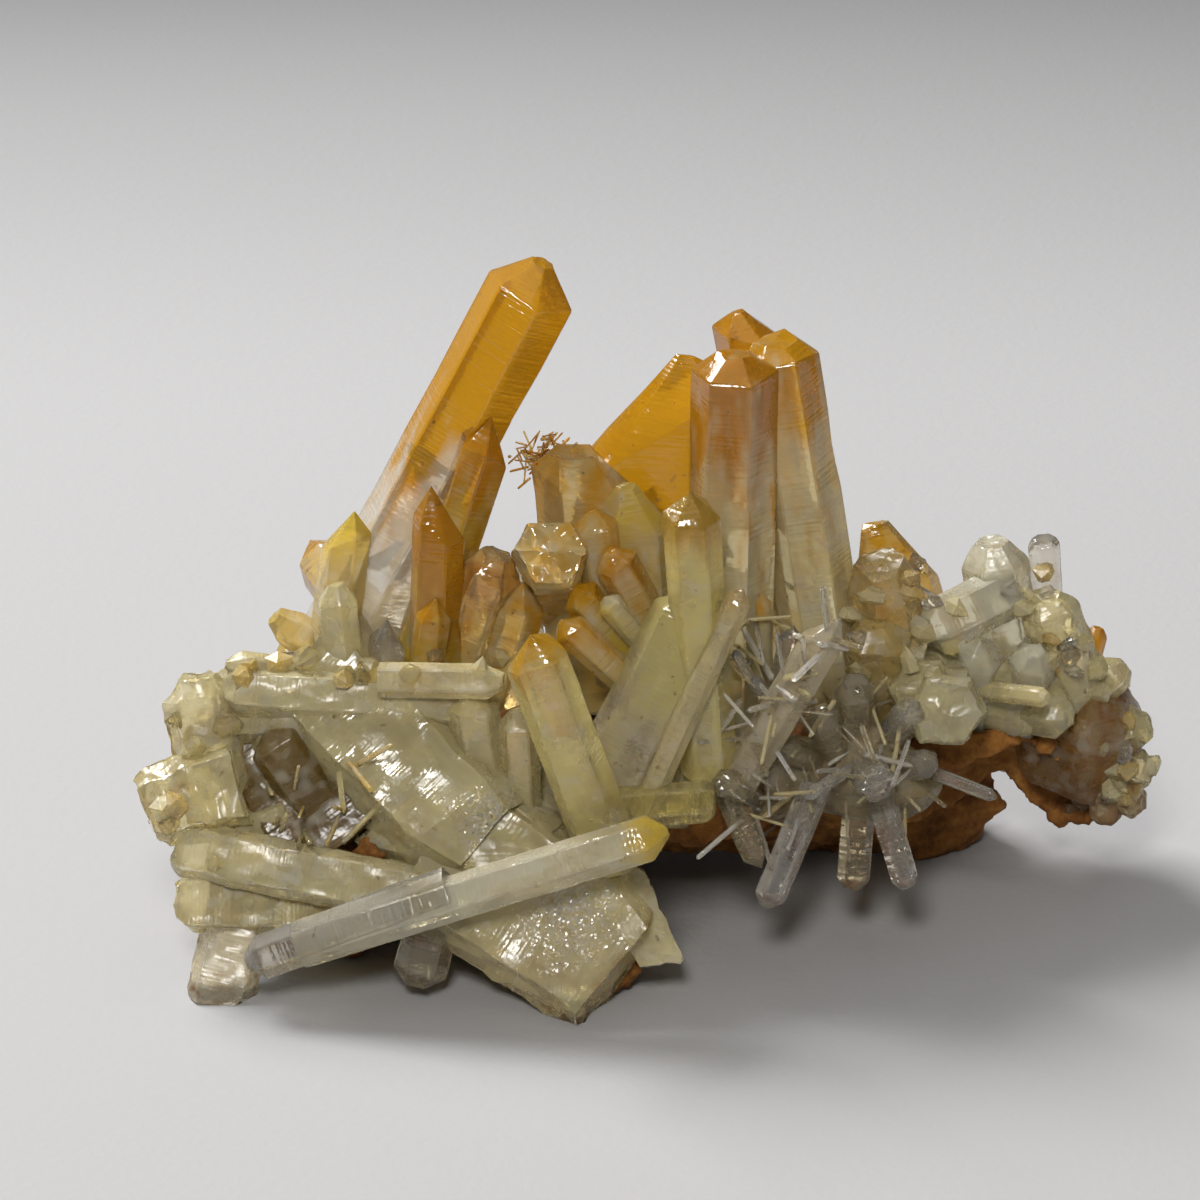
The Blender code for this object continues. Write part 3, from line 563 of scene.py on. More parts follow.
def quartz_finish(name, see_through, cloudiness, roughness, ripple=0.0, glitter=0.0):
    """Quartz whose colour goes from its body colour to its stain colour where iron got in, with
    fine lines across the prism faces, pale clouds, smoky depths, specks of dirt, and rust near the
    foot. see_through is the share of light that goes through, cloudiness how white the clouds are.
    ripple is the share of broad uneven waves, as on a broken face. glitter is how many tiny growth
    steps stand in a millimetre where a face is rough with them, so that it sparkles."""
    shader = Shader(name)
    own = shader.attribute("own_place", "Vector")
    along = shader.vector("MULTIPLY", own, (1.0, 1.0, 0.4))
    lines = shader.vector("MULTIPLY", own, (0.12, 0.12, 3.2))
    wisps = shader.noise(along, 0.34, 2.0, 0.6)
    amount = shader.step(shader.attribute("stain") + (wisps - 0.5) * 2.1, 0.0, 1.0)
    colour = shader.mix(amount, shader.attribute("body_colour", "Color"),
                        shader.attribute("stain_colour", "Color"))
    drift = shader.noise(own, 0.5, 1.0, 0.6)
    cloud = shader.step(drift, 0.46, 0.78)
    depth = 1.0 - shader.step(wisps, 0.36, 0.56)
    smoky = shader.mix(depth * (1.0 - amount) * SMOKINESS, colour, (*SMOKE, 1.0))
    pale = shader.mix(cloud * cloudiness * (1.0 - amount), smoky, (*CLOUD, 1.0))
    dirt = shader.noise(shader.place((1.0, 1.0, 1.0)), 620.0, 2.0, 0.7)
    specks = shader.step(dirt, 0.68, 0.74)
    rusty = shader.step(shader.attribute("soil") + (dirt - 0.5) * 2.4, 0.35, 1.0)
    dirty = shader.mix(specks * 0.6, pale, (*DIRT, 1.0))
    soiled = shader.mix(rusty * 0.85, dirty, (*SOIL, 1.0))
    height = shader.noise(lines, 1.0, 0.0) * 0.7 + shader.noise(own, 2.6, 0.0) * 0.3
    if ripple:
        height = height * (1.0 - ripple) + shader.noise(own, 0.55, 1.0) * (ripple * 5.0)
    normal = shader.bump(height, 0.00012, 0.7)
    if glitter:
        # Painted highlight: near-white is mixed into the colour on the sparkling patch, where the glints of
        # the lamps sit.
        painted_glint = shader.step(shader.noise(own, 1.6, 2.0, 0.7), 0.4, 0.6) * shader.attribute("sparkle")
        soiled = shader.mix(painted_glint * 0.8, soiled, (*PAINTED_GLINT_WHITE, 1.0))
        facets = shader.node("ShaderNodeTexVoronoi", {}, {"Vector": own, "Scale": glitter}, "Color")
        turned = shader.vector("SUBTRACT", facets, (0.5, 0.5, 0.5))
        turned = shader.node("ShaderNodeVectorMath", {"operation": "SCALE"},
                             {0: turned, "Scale": shader.attribute("sparkle") * 1.3})
        normal = shader.vector("ADD", normal, turned)
        normal = shader.node("ShaderNodeVectorMath", {"operation": "NORMALIZE"}, {0: normal})
    shader.put(shader.principled, {
        "Base Color": soiled,
        "Roughness": cloud * 0.16 + amount * 0.07 + rusty * 0.4 + roughness,
        "IOR": QUARTZ_IOR,
        "Transmission Weight": see_through,
        "Normal": normal,
    })
    return shader.material


QUARTZ = [
    quartz_finish("clear quartz", 0.88, 0.3, 0.02),
    quartz_finish("mango quartz", 0.62, 0.5, 0.035),
    quartz_finish("milky quartz", 0.68, 0.5, 0.24, ripple=0.3),
    quartz_finish("sparkling quartz", 0.68, 0.3, 0.14, ripple=0.3, glitter=4.6),
    quartz_finish("honey quartz", 0.7, 0.5, 0.06),
]


def grown_together(name, surfaces, soil=(0.0, 1.0)):
    """One piece from many crystal surfaces, in the place of the solid with the same name. soil is
    the height in mm under which rust begins, and how much lower it is full."""
    points, quads, fans = [], [], []
    count = 0
    for given in surfaces:
        quads.append(given["quads"] + count)
        fans.append(given["fans"] + count)
        points.append(given["points"])
        count += len(given["points"])
    polygons = np.vstack(quads).tolist() + np.vstack(fans).tolist()
    finish = np.concatenate([np.full(len(s["quads"]), s["finish"]) for s in surfaces]
                            + [np.full(len(s["fans"]), s["finish"]) for s in surfaces])
    mesh = bpy.data.meshes.new(name)
    places = np.vstack(points)
    places[:, 2] = np.maximum(places[:, 2], 0.0)
    mesh.from_pydata((places * MM).tolist(), [], polygons)
    values = {
        key: np.concatenate([s[key] for s in surfaces])
        for key in ("own_place", "body_colour", "stain_colour", "stain", "sparkle")
    }
    values["soil"] = (soil[0] - places[:, 2]) / soil[1]
    for key, kind, field in (("own_place", "FLOAT_VECTOR", "vector"), ("stain", "FLOAT", "value"),
                             ("sparkle", "FLOAT", "value"), ("soil", "FLOAT", "value"),
                             ("body_colour", "FLOAT_COLOR", "color"),
                             ("stain_colour", "FLOAT_COLOR", "color")):
        layer = mesh.attributes.new(key, kind, "POINT")
        layer.data.foreach_set(field, values[key].astype(np.float32).ravel())
    for made in QUARTZ:
        mesh.materials.append(made)
    mesh.polygons.foreach_set("material_index", finish.astype(np.int32))
    rounded = np.concatenate([np.full(len(s[key]), s["rounded"])
                              for key in ("quads", "fans") for s in surfaces])
    mesh.polygons.foreach_set("use_smooth", rounded)
    mesh.set_sharp_from_angle(angle=SHARP_ANGLE)
    mesh.update()
    piece = bpy.data.objects.new(name + "_quartz", mesh)
    bpy.context.scene.collection.objects.link(piece)
    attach(piece, "root")
    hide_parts(name)


def at(foot, tip, width, **look):
    """One crystal of a group: its foot and tip as (across, up, back), its width, and its own look."""
    return dict(foot=foot, tip=tip, width=width, **look)


def group(first_seed, rows, **usual):
    """The crystals of a group, each with a seed of its own and the group's usual look under its own."""
    return [{"seed": first_seed + i, **usual, **row} for i, row in enumerate(rows)]


TALL_LEFT = group(2, [
    at((-31.0, -13.5, 4.2), (-5.7, 33.7, 9), 9.6, roll=8, point=0.34, blunt=0.25, body=CLEAR,
       zone=(0.41, 0.66)),
    at((-18.6, -7.0, 2), (-10.4, 18.2, 3), 5.8, roll=20, slant=1.5, body=YELLOW, stain=ORANGE,
       zone=(0.3, 0.9)),
    at((-16.6, -9.0, -2), (-16.0, 11.4, -1), 5.6, roll=12, slant=3.0, body=YELLOW, stain=ORANGE,
       zone=(0.0, 0.6)),
    at((-27.2, -9.0, 0), (-25.0, 9.0, 2), 4.9, roll=5, slant=1.5, side=180, body=BEIGE, stain=YELLOW,
       zone=(0.5, 0.9)),
    at((-24.5, -7.5, 2), (-32.6, -1.6, 1), 4.2, blunt=0.5, body=BEIGE, stain=YELLOW, zone=(0.7, 1.4)),
    at((-25.2, -10.0, -4), (-26.4, 1.6, -3), 4.4, roll=25, blunt=0.4, finish=MILKY_FINISH, body=MILK),
    at((-22.0, -11.0, -4), (-21.0, -2.0, -4), 4.2, roll=15, slant=1.0, finish=CLEAR_FINISH, body=CLEAR),
    at((-23.0, -8.0, -3), (-37.5, -6.4, -5), 3.2, blunt=0.3, finish=MILKY_FINISH),
    at((-15.0, -9.0, 1), (-10.2, 4.6, -1), 6.6, blunt=0.55, point=0.3, broken=0.3, body=BEIGE,
       stain=RED_BROWN, zone=(-0.6, 1.8)),
    at((-10.5, -9.5, 1), (-7.6, 1.8, -1), 5.6, roll=10, body=BEIGE, zone=(-0.5, 1.6)),
    at((-17.8, -9.5, -4), (-16.4, 0.2, -4), 3.8, roll=5, body=YELLOW, stain=ORANGE, zone=(-0.4, 1.4)),
    at((-20.0, -7.0, 6), (-29.0, 6.0, 19), 6.4, roll=14, zone=(0.5, 1.0)),
    at((-17.0, -3.0, 12), (-17.5, 14.0, 19), 6.6, roll=28, slant=2.0, side=90, zone=(0.4, 0.9)),
], zone=UNSTAINED)
grown_together("tall_left_points", crystals(TALL_LEFT, (6, 2, 2, 1)))

# The mango middle points: squat broken crystals in front, and the broadest blade of the cluster
# behind them, whose slanting end is the deepest mango.
MANGO_MIDDLE = group(20, [
    at((3.8, -10.0, 8), (6.2, 24.6, 10), 16.4, flat=0.66, point=0.1, blunt=0.12, slant=11.0, side=180,
       uneven=0.03, zone=(0.35, 0.6)),
    at((12.6, -14.0, 4), (13.6, 24.8, 5), 9.0, roll=6, point=0.22, blunt=0.35, stain=ORANGE,
       zone=(0.35, 0.95)),
    at((1.5, -9.0, 6), (-0.6, 14.8, 5), 13.0, flat=0.8, point=0.06, blunt=0.4, slant=6.5, uneven=0.03,
       body=BEIGE, zone=(0.3, 1.7)),
    at((4.8, -9.0, 1), (3.4, 11.6, 2), 7.4, blunt=0.25, slant=2.5, body=BEIGE, stain=YELLOW,
       zone=(0.1, 1.6)),
    at((-4.0, 1.0, 8), (-5.0, 4.8, -4), 8.4, roll=12, point=0.1, blunt=0.85, broken=0.35, body=BEIGE,
       zone=(0.2, 2.4)),
    at((7.0, -6.0, -2), (1.0, 4.9, -4), 4.6, point=0.3, blunt=0.3, body=BEIGE, stain=ORANGE,
       zone=(0.3, 1.0)),
    at((5.5, -10.5, -4), (-3.9, -2.2, -7), 3.7, point=0.3, blunt=0.2, body=BEIGE, zone=(0.4, 1.4)),
    at((6.0, -6.2, -3), (0.4, 0.3, -6), 2.8, stain=YELLOW, zone=(0.4, 1.4)),
    at((4.6, -7.4, -2), (-2.8, 1.4, -4), 4.4, body=YELLOW, zone=(0.4, 1.2)),
    at((2.0, -8.0, -1), (-0.6, 9.0, -1), 5.0, blunt=0.2, body=BEIGE, zone=(0.3, 1.4)),
    at((2.0, -4.0, 12), (1.5, 12.0, 19), 7.4, roll=18, zone=(0.4, 0.9), point=0.5),
], point=0.35)
grown_together("mango_middle_points", crystals(MANGO_MIDDLE, (5, 5, 6, 3)))

# The tall right columns: two columns grown side by side, clear windows low down and mango at
# their broken tops, with small needles at their foot.
TALL_RIGHT = group(40, [
    at((23.6, -12.5, 7), (17.4, 26.0, 9), 8.6, roll=4, point=0.2, blunt=0.5, zone=(0.45, 1.0)),
    at((21.0, -9.0, 13), (14.6, 29.0, 14), 7.6, roll=10, point=0.15, blunt=0.2, slant=3.0, body=BEIGE,
       stain=ORANGE, zone=(0.55, 0.9)),
    at((16.5, -12.0, 4), (16.2, 0.6, 2), 2.0, zone=(0.6, 1.4)),
    at((17.0, -12.0, 2), (19.3, -2.5, 0), 2.4, slant=0.6, side=180, finish=CLEAR_FINISH, body=CLEAR,
       zone=(0.8, 1.6)),
    at((18.0, -7.0, 12.5), (22.5, 9.0, 21), 6.2, roll=22, zone=(0.4, 0.9)),
    at((24.0, -9.0, 10.5), (31.0, 0.5, 20), 5.4, roll=12, zone=(0.6, 1.1)),
])
grown_together("tall_right_columns", crystals(TALL_RIGHT, (6, 3)))

# The leaning points in front: slim pale crystals that cross the middle, smoky at the foot, with a
# milky and a greenish one lying below them.
PALE_LEANERS = group(100, [
    at((11.0, -17.0, -8), (9.0, 10.8, -8), 5.9, roll=3, point=0.42, body=GREENISH, stain=AMBER,
       zone=(0.78, 0.9)),
    at((0.6, -19.5, -9), (11.0, 1.5, -6), 8.4, flat=0.8, roll=6, body=GREY, stain=GREENISH,
       zone=(0.15, 0.7)),
    at((4.2, -21.5, -12), (14.4, 1.2, -10), 2.9, roll=10, zone=(0.6, 1.4)),
    at((-6.0, -19.0, -4), (10.0, -19.0, -6), 8.0, point=0.2, blunt=0.6, finish=MILKY_FINISH, body=MILK,
       zone=UNSTAINED),
    at((-2.0, -21.0, -12), (11.5, -20.0, -13), 4.4, point=0.2, blunt=0.7, finish=CLEAR_FINISH,
       body=GREENISH, zone=UNSTAINED),
], finish=HONEY_FINISH)
grown_together("pale_leaning_points", crystals(PALE_LEANERS, (5, 6, 2)))

# The orange-tipped point: one sharp crystal that stands out towards the viewer, greenish for most of
# its length, with mango only in its last quarter.
ORANGE_TIPPED = group(110, [
    at((1.2, -26.0, -14), (-7.3, -3.5, -19), 6.4, roll=10, point=0.36, slant=1.2, side=200,
       finish=HONEY_FINISH, body=GREENISH, zone=(0.76, 1.0)),
])
grown_together("orange_tipped_point", crystals(ORANGE_TIPPED, (5,)))

# The front bar: a long slim crystal lying across the front with a yellow tip, and a clear tube
# that grew from it to the left.
FRONT_BAR = group(120, [
    at((-30.0, -34.6, -18.5), (6.8, -23.2, -21), 4.6, roll=6, point=0.35, blunt=0.2, slant=0.8, side=90,
       finish=HONEY_FINISH, body=CREAM, stain=YELLOW, zone=(0.86, 0.97)),
    at((-15.0, -28.8, -19.5), (-35.2, -36.2, -18.5), 4.8, roll=2, point=0.25, blunt=0.4,
       finish=CLEAR_FINISH, body=CLEAR, zone=UNSTAINED),
])
grown_together("yellow_tipped_front_bar", crystals(FRONT_BAR, (5, 3)))

# The milky left block: broad milky prisms and slabs grown through each other round a dark cave,
# whose shade is painted partly into two dark olive crystals at its back, with slim prisms along
# the top. Where two of them broke off, the faces are rough and sparkle, and a white highlight is
# painted on them where the glints sit.
LEFT_BLOCK = group(130, [
    at((-11.0, -10.6, -7), (-38.0, -8.6, -5), 6.4, point=0.3, blunt=0.5, broken=0.3, body=PALE),
    at((-29.5, -6.0, -1), (-11.4, -24.4, -13), 15.0, flat=0.7, point=0.1, blunt=0.8, slant=3.0, side=60,
       uneven=0.03, broken=0.4, finish=SPARKLING_FINISH, sparkle=((-10.5, -22.5, -14.5), 3.5)),
    at((-16.5, -24.0, -10.6), (2.4, -36.6, -18), 17.2, flat=0.5, point=0.08, blunt=0.85, slant=4.0,
       side=180, uneven=0.03, broken=0.3, finish=SPARKLING_FINISH, stain=RUST, zone=(0.95, 1.1),
       sparkle=((-2.5, -31.2, -16.5), 4.0)),
    at((-37.7, -24.0, -8), (-40.3, -7.1, -4.6), 8.2, flat=0.7, point=0.25, blunt=0.5, broken=0.5),
    at((-36.0, -18.0, -8.5), (-45.8, -21.0, -10), 9.0, flat=0.7, point=0.2, blunt=0.7, broken=0.6,
       stain=RUST, zone=(0.6, 2.2)),
    at((-16.0, -30.0, -15.5), (-42.5, -24.6, -11), 6.4, flat=0.7, point=0.2, blunt=0.6, broken=0.3,
       body=PALE),
    at((-35.0, -27.0, -9), (-38.2, -40.4, -16), 7.6, flat=0.7, point=0.15, blunt=0.8, broken=0.3,
       body=GREY),
    at((-20.0, -30.0, -12), (-42.6, -29.8, -11), 7.6, flat=0.7, point=0.2, blunt=0.6, broken=0.3),
    # Painted shade: these two crystals are dark olive to stand for the shade in the cave behind the block,
    # together with the brown seen inside it.
    at((-24.0, -24.0, -10), (-35.5, -8.0, 0), 17.0, flat=0.4, point=0.1, blunt=0.7, broken=0.5,
       body=OLIVE_AND_CAVE_SHADE),
    at((-27.0, -22.0, -9), (-33.5, -13.0, -8), 5.6, flat=0.6, point=0.3, body=OLIVE_AND_CAVE_SHADE),
    at((-24.0, -7.4, -6), (-15.6, -7.8, -8), 3.0, blunt=0.3, body=YELLOW),
    at((-22.0, -8.0, -8), (-9.6, -8.2, -10), 3.8, blunt=0.5, body=PALE),
    at((-11.0, -22.0, -8), (-13.0, -9.4, -9), 5.4, point=0.3, blunt=0.3),
    at((-8.0, -21.0, -9), (-8.4, -11.0, -9), 4.4, point=0.3, blunt=0.3),
    at((-15.5, -27.0, -13), (-18.4, -38.2, -16), 5.6, point=0.2, blunt=0.6, finish=CLEAR_FINISH,
       body=RUST, stain=GREY, zone=(0.2, 0.6)),
    at((-23.0, -10.4, -4.5), (-38.6, -10.2, -4), 8.8, flat=0.6, point=0.15, blunt=0.7, uneven=0.05,
       broken=0.4),
], finish=MILKY_FINISH, body=MILK, zone=UNSTAINED)
# The outline of the broken face to the right of the front slab, as (across, up, back).
PLATE_OUTLINE = [
    (-5.0, -25.0, -13), (3.6, -26.0, -14), (5.6, -28.6, -14.5), (8.8, -36.5, -18), (4.0, -36.8, -18),
    (0.0, -31.0, -16),
]
LEFT_MASSES = [
    ((-30.0, -4.5, 20.5), (12.0, 4.5, 6.5)),
    ((-17.0, -9.0, 14.5), (10.0, 6.5, 7.0)),
    ((-38.0, -7.0, 11.5), (5.5, 5.0, 7.5)),
]
MASS_PLANES = 26
PLATE_COLUMNS = 7
PLATE_ROWS = (0.12, 0.26, 0.4, 0.54, 0.68, 0.8, 0.9, 0.975)


def plate(thickness, swell, colour, outline, seed):
    """A crystal plate so many mm thick on a grid of around and outwards.

    Around: the outline, each side cut into equal parts and chipped inwards by waves. Outwards: the
    middle of the front, whose depth at each point is the mean of the outline's depths, the near
    ones counting most, and which swells towards the viewer by so many mm as one less the square of
    the distance out; then over a worn edge down the side, and in again to the middle of the back.
    """
    corners = seen(outline)
    middle = corners.mean(axis=0)
    beyond = np.roll(corners, -1, axis=0)
    shares = (np.arange(PLATE_COLUMNS) / PLATE_COLUMNS)[None, :, None]
    rim = (corners[:, None] * (1.0 - shares) + beyond[:, None] * shares).reshape(-1, 3)
    side = np.array((1.0, 0.0, 0.0))
    flat_rim = np.column_stack(((rim - middle) @ side, (rim - middle) @ PICTURE_UP))
    turning = flat_rim[:, 0] * np.roll(flat_rim[:, 1], -1) - np.roll(flat_rim[:, 0], -1) * flat_rim[:, 1]
    if turning.sum() > 0.0:
        rim, flat_rim = rim[::-1], flat_rim[::-1]
    chips = np.abs(waviness(rim, 2.4, seed)) * 0.5
    flat_rim = flat_rim * (1.0 - chips / np.linalg.norm(flat_rim, axis=1))[:, None]
    depth_rim = (rim - middle) @ TO_VIEWER
    out = np.concatenate([np.full(len(rim), share) for share in PLATE_ROWS])
    flat = np.tile(flat_rim, (len(PLATE_ROWS), 1)) * out[:, None]
    flat = np.vstack((flat, (0.0, 0.0)))
    out = np.append(out, 0.0)
    nearness = 1.0 / (np.linalg.norm(flat[:, None] - flat_rim[None], axis=2) + 0.25) ** 3
    depth = nearness @ depth_rim / nearness.sum(axis=1)
    front = middle + flat[:, :1] * side + flat[:, 1:] * PICTURE_UP
    front += (depth + swell * (1.0 - out ** 2))[:, None] * TO_VIEWER
    ripples = waviness(front, 8.0, seed) * 0.3 + np.abs(waviness(front, 3.4, seed)) * 0.16
    front += TO_VIEWER * (ripples * (1.0 - out ** 4))[:, None]
    edge = front[-len(rim) - 1:-1]
    rows = [front[:-1]]
    for share in (0.05, 0.25, 0.5, 0.75, 0.95):
        place = edge - TO_VIEWER * thickness * share
        bitten = np.abs(waviness(place, 2.2, seed + 1))[:, None] * 0.03 - (0.03 if share < 0.9 else 0.0)
        rows.append(place - (edge - front[-1]) * bitten)
    for share in (0.9, 0.6, 0.3):
        rows.append(front[-1] + (edge - front[-1]) * share - TO_VIEWER * thickness)
    points = np.vstack((*rows, front[-1], front[-1] - TO_VIEWER * thickness))
    quads, fans = ring_faces(len(points[:-2]) // len(rim), len(rim))
    return surface(points, quads, fans, points + 11.0 * seed, -0.3, colour, YELLOW, MILKY_FINISH,
                   rounded=True)


def blocky_mass(centre, radii, seed, colour=MILK):
    """Quartz grown together in one block, on a grid of turn and height: in each direction the
    surface is the nearest of many flat faces that stand round the centre, so it has broad facets."""
    rng = np.random.default_rng(seed)
    normals = unit(rng.normal(size=(MASS_PLANES, 3)))
    reach = rng.uniform(0.82, 1.0, MASS_PLANES)
    turn = np.linspace(0.0, 2.0 * math.pi, 56, endpoint=False)[::-1]
    height = np.linspace(-0.5 * math.pi, 0.5 * math.pi, 30)[1:-1]
    directions = np.stack((np.cos(height)[:, None] * np.cos(turn), np.cos(height)[:, None] * np.sin(turn),
                           np.sin(height)[:, None] * np.ones(len(turn))), axis=-1).reshape(-1, 3)
    directions = np.vstack((directions, (0.0, 0.0, -1.0), (0.0, 0.0, 1.0)))
    facing = directions @ normals.T
    distance = np.where(facing > 0.05, reach / np.maximum(facing, 0.05), np.inf).min(axis=1)
    points = np.array(centre) - BOX_MIDDLE + directions * np.minimum(distance, 1.25)[:, None] * radii
    quads, fans = ring_faces(len(height), len(turn))
    return surface(points, quads, fans, points + 9.0 * seed, -0.4, colour, YELLOW, MILKY_FINISH)


left_block = crystals(LEFT_BLOCK)
left_block.append(plate(5.0, 0.4, PALE, PLATE_OUTLINE, seed=1))
left_block += [blocky_mass(*given, seed=i + 1) for i, given in enumerate(LEFT_MASSES)]
LEFT_LOOKS = [
    dict(body=MILK, stain=YELLOW, zone=(0.8, 2.0), finish=MILKY_FINISH),
    dict(body=BEIGE, stain=YELLOW, zone=(0.6, 1.6), finish=MILKY_FINISH),
    dict(body=PALE, stain=YELLOW, zone=(0.9, 2.0)),
]
left_block += small_growth((-38.0, -8.2), (-10.0, -5.6), 12, 212, (1.2, 2.6), (1.2, 3.2), 0.3, LEFT_LOOKS)
left_block += small_growth((-46.5, -28.0), (-37.0, -9.0), 9, 214, (0.8, 1.8), (1.6, 3.4), 0.2, LEFT_LOOKS)
left_block += small_growth((-36.0, -24.0), (-24.0, -15.0), 14, 216, (3.0, 7.0), (0.3, 0.7), 0.8, LEFT_LOOKS)
grown_together("milky_left_block", left_block, soil=(5.0, 8.0))

# The right crust: stubby crystals of many kinds, from amber to water-clear, standing on a rough
# milky crust that hangs over a hollow in the host rock.
RIGHT_CRUST = group(50, [
    at((33.0, -8.0, 12), (28.2, 7.8, 13), 8.0, flat=0.6, blunt=0.35, slant=3.0, finish=MANGO_FINISH,
       body=BEIGE, zone=(0.3, 1.2), point=0.5),
    at((30.5, -11.0, 9), (28.0, 3.6, 4), 8.0, blunt=0.7, uneven=0.12, broken=0.4, body=BEIGE,
       stain=RED_BROWN, zone=(0.4, 3.0)),
    at((28.5, -14.0, 6), (27.4, -2.0, 2), 7.4, blunt=0.4, broken=0.3, body=BEIGE),
    at((41.0, -8.0, 12), (39.2, 6.0, 11), 7.4, broken=0.3, body=CREAM),
    at((41.0, 1.0, 10), (32.6, -3.2, 5), 5.8, point=0.2, blunt=0.6, body=CREAM, finish=HONEY_FINISH),
    at((45.0, -8.0, 12), (44.4, 6.2, 12), 3.5, point=0.2, blunt=0.7, finish=CLEAR_FINISH, body=CLEAR),
    at((50.0, -14.0, 9), (44.2, 0.5, 8), 6.6, point=0.25, blunt=0.55, uneven=0.1, broken=0.4),
    at((48.0, -10.0, 12), (49.8, -2.8, 13), 2.6, stain=ORANGE, zone=(0.2, 0.8)),
    at((46.0, -12.0, 9), (52.8, -6.4, 9), 4.6, blunt=0.4, broken=0.3),
    at((46.5, -14.0, 9), (55.2, -12.4, 8), 5.4, broken=0.3),
    at((47.0, -15.0, 8), (55.6, -17.6, 7), 5.2, broken=0.3),
    at((49.0, -15.0, 8), (53.8, -21.4, 7), 4.4, broken=0.3),
    at((50.5, -13.0, 8), (50.6, -22.4, 7), 3.4),
    at((33.5, -9.0, 6), (34.6, -11.4, -6), 8.8, roll=14, point=0.1, blunt=0.8, broken=0.4, body=PALE),
    at((31.5, -8.0, 6), (32.4, -9.0, -3), 7.2, roll=30, point=0.1, blunt=0.8, broken=0.4),
    at((38.0, -9.0, 5), (44.8, -9.8, -1), 2.2),
    at((40.0, -10.0, 9), (47.0, -11.6, 3), 5.6, blunt=0.4),
    at((37.0, -12.0, 8), (38.4, -4.0, 5), 5.4, slant=1.0, finish=HONEY_FINISH, body=CREAM, blunt=0.0),
    at((42.0, -12.0, 9), (43.5, -5.0, 4), 5.0, blunt=0.4, finish=HONEY_FINISH, body=CREAM),
], point=0.3, blunt=0.5, finish=MILKY_FINISH, body=MILK, zone=UNSTAINED)
RIGHT_MASSES = [
    ((27.5, 8.0, 24.0), (7.5, 6.5, 5.0), MILK),
    ((38.0, 10.0, 22.5), (8.0, 6.5, 4.5), MILK),
    ((46.0, 10.0, 16.0), (6.0, 5.5, 7.0), RUST),
]
right_crust = crystals(RIGHT_CRUST)
right_crust += [blocky_mass(centre, radii, i + 11, colour) for i, (centre, radii, colour)
                in enumerate(RIGHT_MASSES)]
RIGHT_LOOKS = [
    dict(body=MILK, stain=YELLOW, zone=(0.8, 2.0), finish=MILKY_FINISH),
    dict(body=CLEAR, stain=YELLOW, zone=(0.9, 2.0)),
    dict(body=BEIGE, stain=ORANGE, zone=(0.7, 1.8), finish=MILKY_FINISH),
    dict(body=PALE, stain=YELLOW, zone=(0.8, 2.0), finish=MILKY_FINISH),
]
right_crust += small_growth((25.0, -8.0), (47.0, 5.0), 24, 222, (1.4, 3.6), (1.0, 2.6), 0.4, RIGHT_LOOKS)
right_crust += small_growth((46.5, -21.0), (55.5, -3.0), 24, 224, (1.2, 3.0), (1.0, 2.8), 0.4, RIGHT_LOOKS)
grown_together("right_crystal_crust", right_crust, soil=(17.0, 9.0))

# The grey spray: water-clear and smoky crystals that fan out low on the right from two smoky blocks,
# with fine needles between them.
GREY_SPRAY = group(80, [
    at((13.6, -18.5, -8), (23.8, -1.6, -11), 4.3, roll=10, slant=1.0, side=180, finish=HONEY_FINISH,
       body=GREY),
    at((21.6, -18.5, -7), (16.5, -30.8, -13), 3.5, roll=12, point=0.35, blunt=0.3),
    at((12.0, -17.5, -7), (16.2, -26.8, -11), 3.1, roll=5, body=GREY),
    at((15.6, -20.0, -4), (12.4, -18.2, -12), 3.8, point=0.2, blunt=0.6, broken=0.3, body=GREY),
    at((27.6, -18.0, -5), (30.8, -28.8, -9), 3.1, roll=8, point=0.3, blunt=0.5),
    at((26.0, -19.0, -2), (25.2, -29.0, -6), 3.6, point=0.3, blunt=0.5, body=GREY),
    at((32.0, -16.8, -2), (39.8, -19.8, -7), 1.5),
    at((24.0, -16.0, -2), (22.0, -11.0, -9), 3.6, blunt=0.3, body=GREY),
    at((26.5, -16.0, -2), (27.6, -18.6, -11), 5.0, point=0.2, blunt=0.6, uneven=0.12, broken=0.4),
    at((25.5, -16.5, -5), (20.4, -19.8, -11), 1.5),
    at((25.5, -15.0, -1), (25.6, -8.4, -5), 4.6, point=0.2, blunt=0.6, body=GREY),
    at((28.5, -15.0, -1), (31.4, -10.4, -7), 3.6, blunt=0.3),
    at((23.0, -17.0, -1), (17.8, -14.4, -9), 3.0, blunt=0.3, body=GREY),
    at((29.0, -17.0, -1), (33.4, -16.2, -8), 3.2, blunt=0.3),
    at((20.0, -18.0, 0), (20.6, -22.4, -9), 3.4, blunt=0.3, body=GREY),
    at((19.0, -12.5, -3), (15.2, -7.8, -7), 1.7, seed=97),
    at((18.0, -13.0, -3), (13.4, -5.0, -7), 1.2, seed=98),
], finish=CLEAR_FINISH, body=CLEAR, zone=UNSTAINED)
GREY_MASSES = [
    ((13.0, -2.0, 18.0), (6.5, 4.5, 5.0)),
    ((22.0, -2.0, 18.5), (7.0, 4.5, 5.0)),
]
grey_spray = crystals(GREY_SPRAY)
grey_spray += [blocky_mass(*given, seed=i + 21, colour=SMOKE) for i, given in enumerate(GREY_MASSES)]
SPRAY_LOOKS = [
    dict(body=PALE, zone=UNSTAINED, finish=HONEY_FINISH),
    dict(body=CLEAR, zone=UNSTAINED),
    dict(body=CLEAR, zone=(1.0, 2.0), finish=HONEY_FINISH),
    dict(body=GREY, zone=UNSTAINED),
]
grey_spray += small_growth((12.0, -23.0), (32.0, -9.0), 60, 232, (2.5, 7.0), (0.25, 0.6), 0.7, SPRAY_LOOKS)
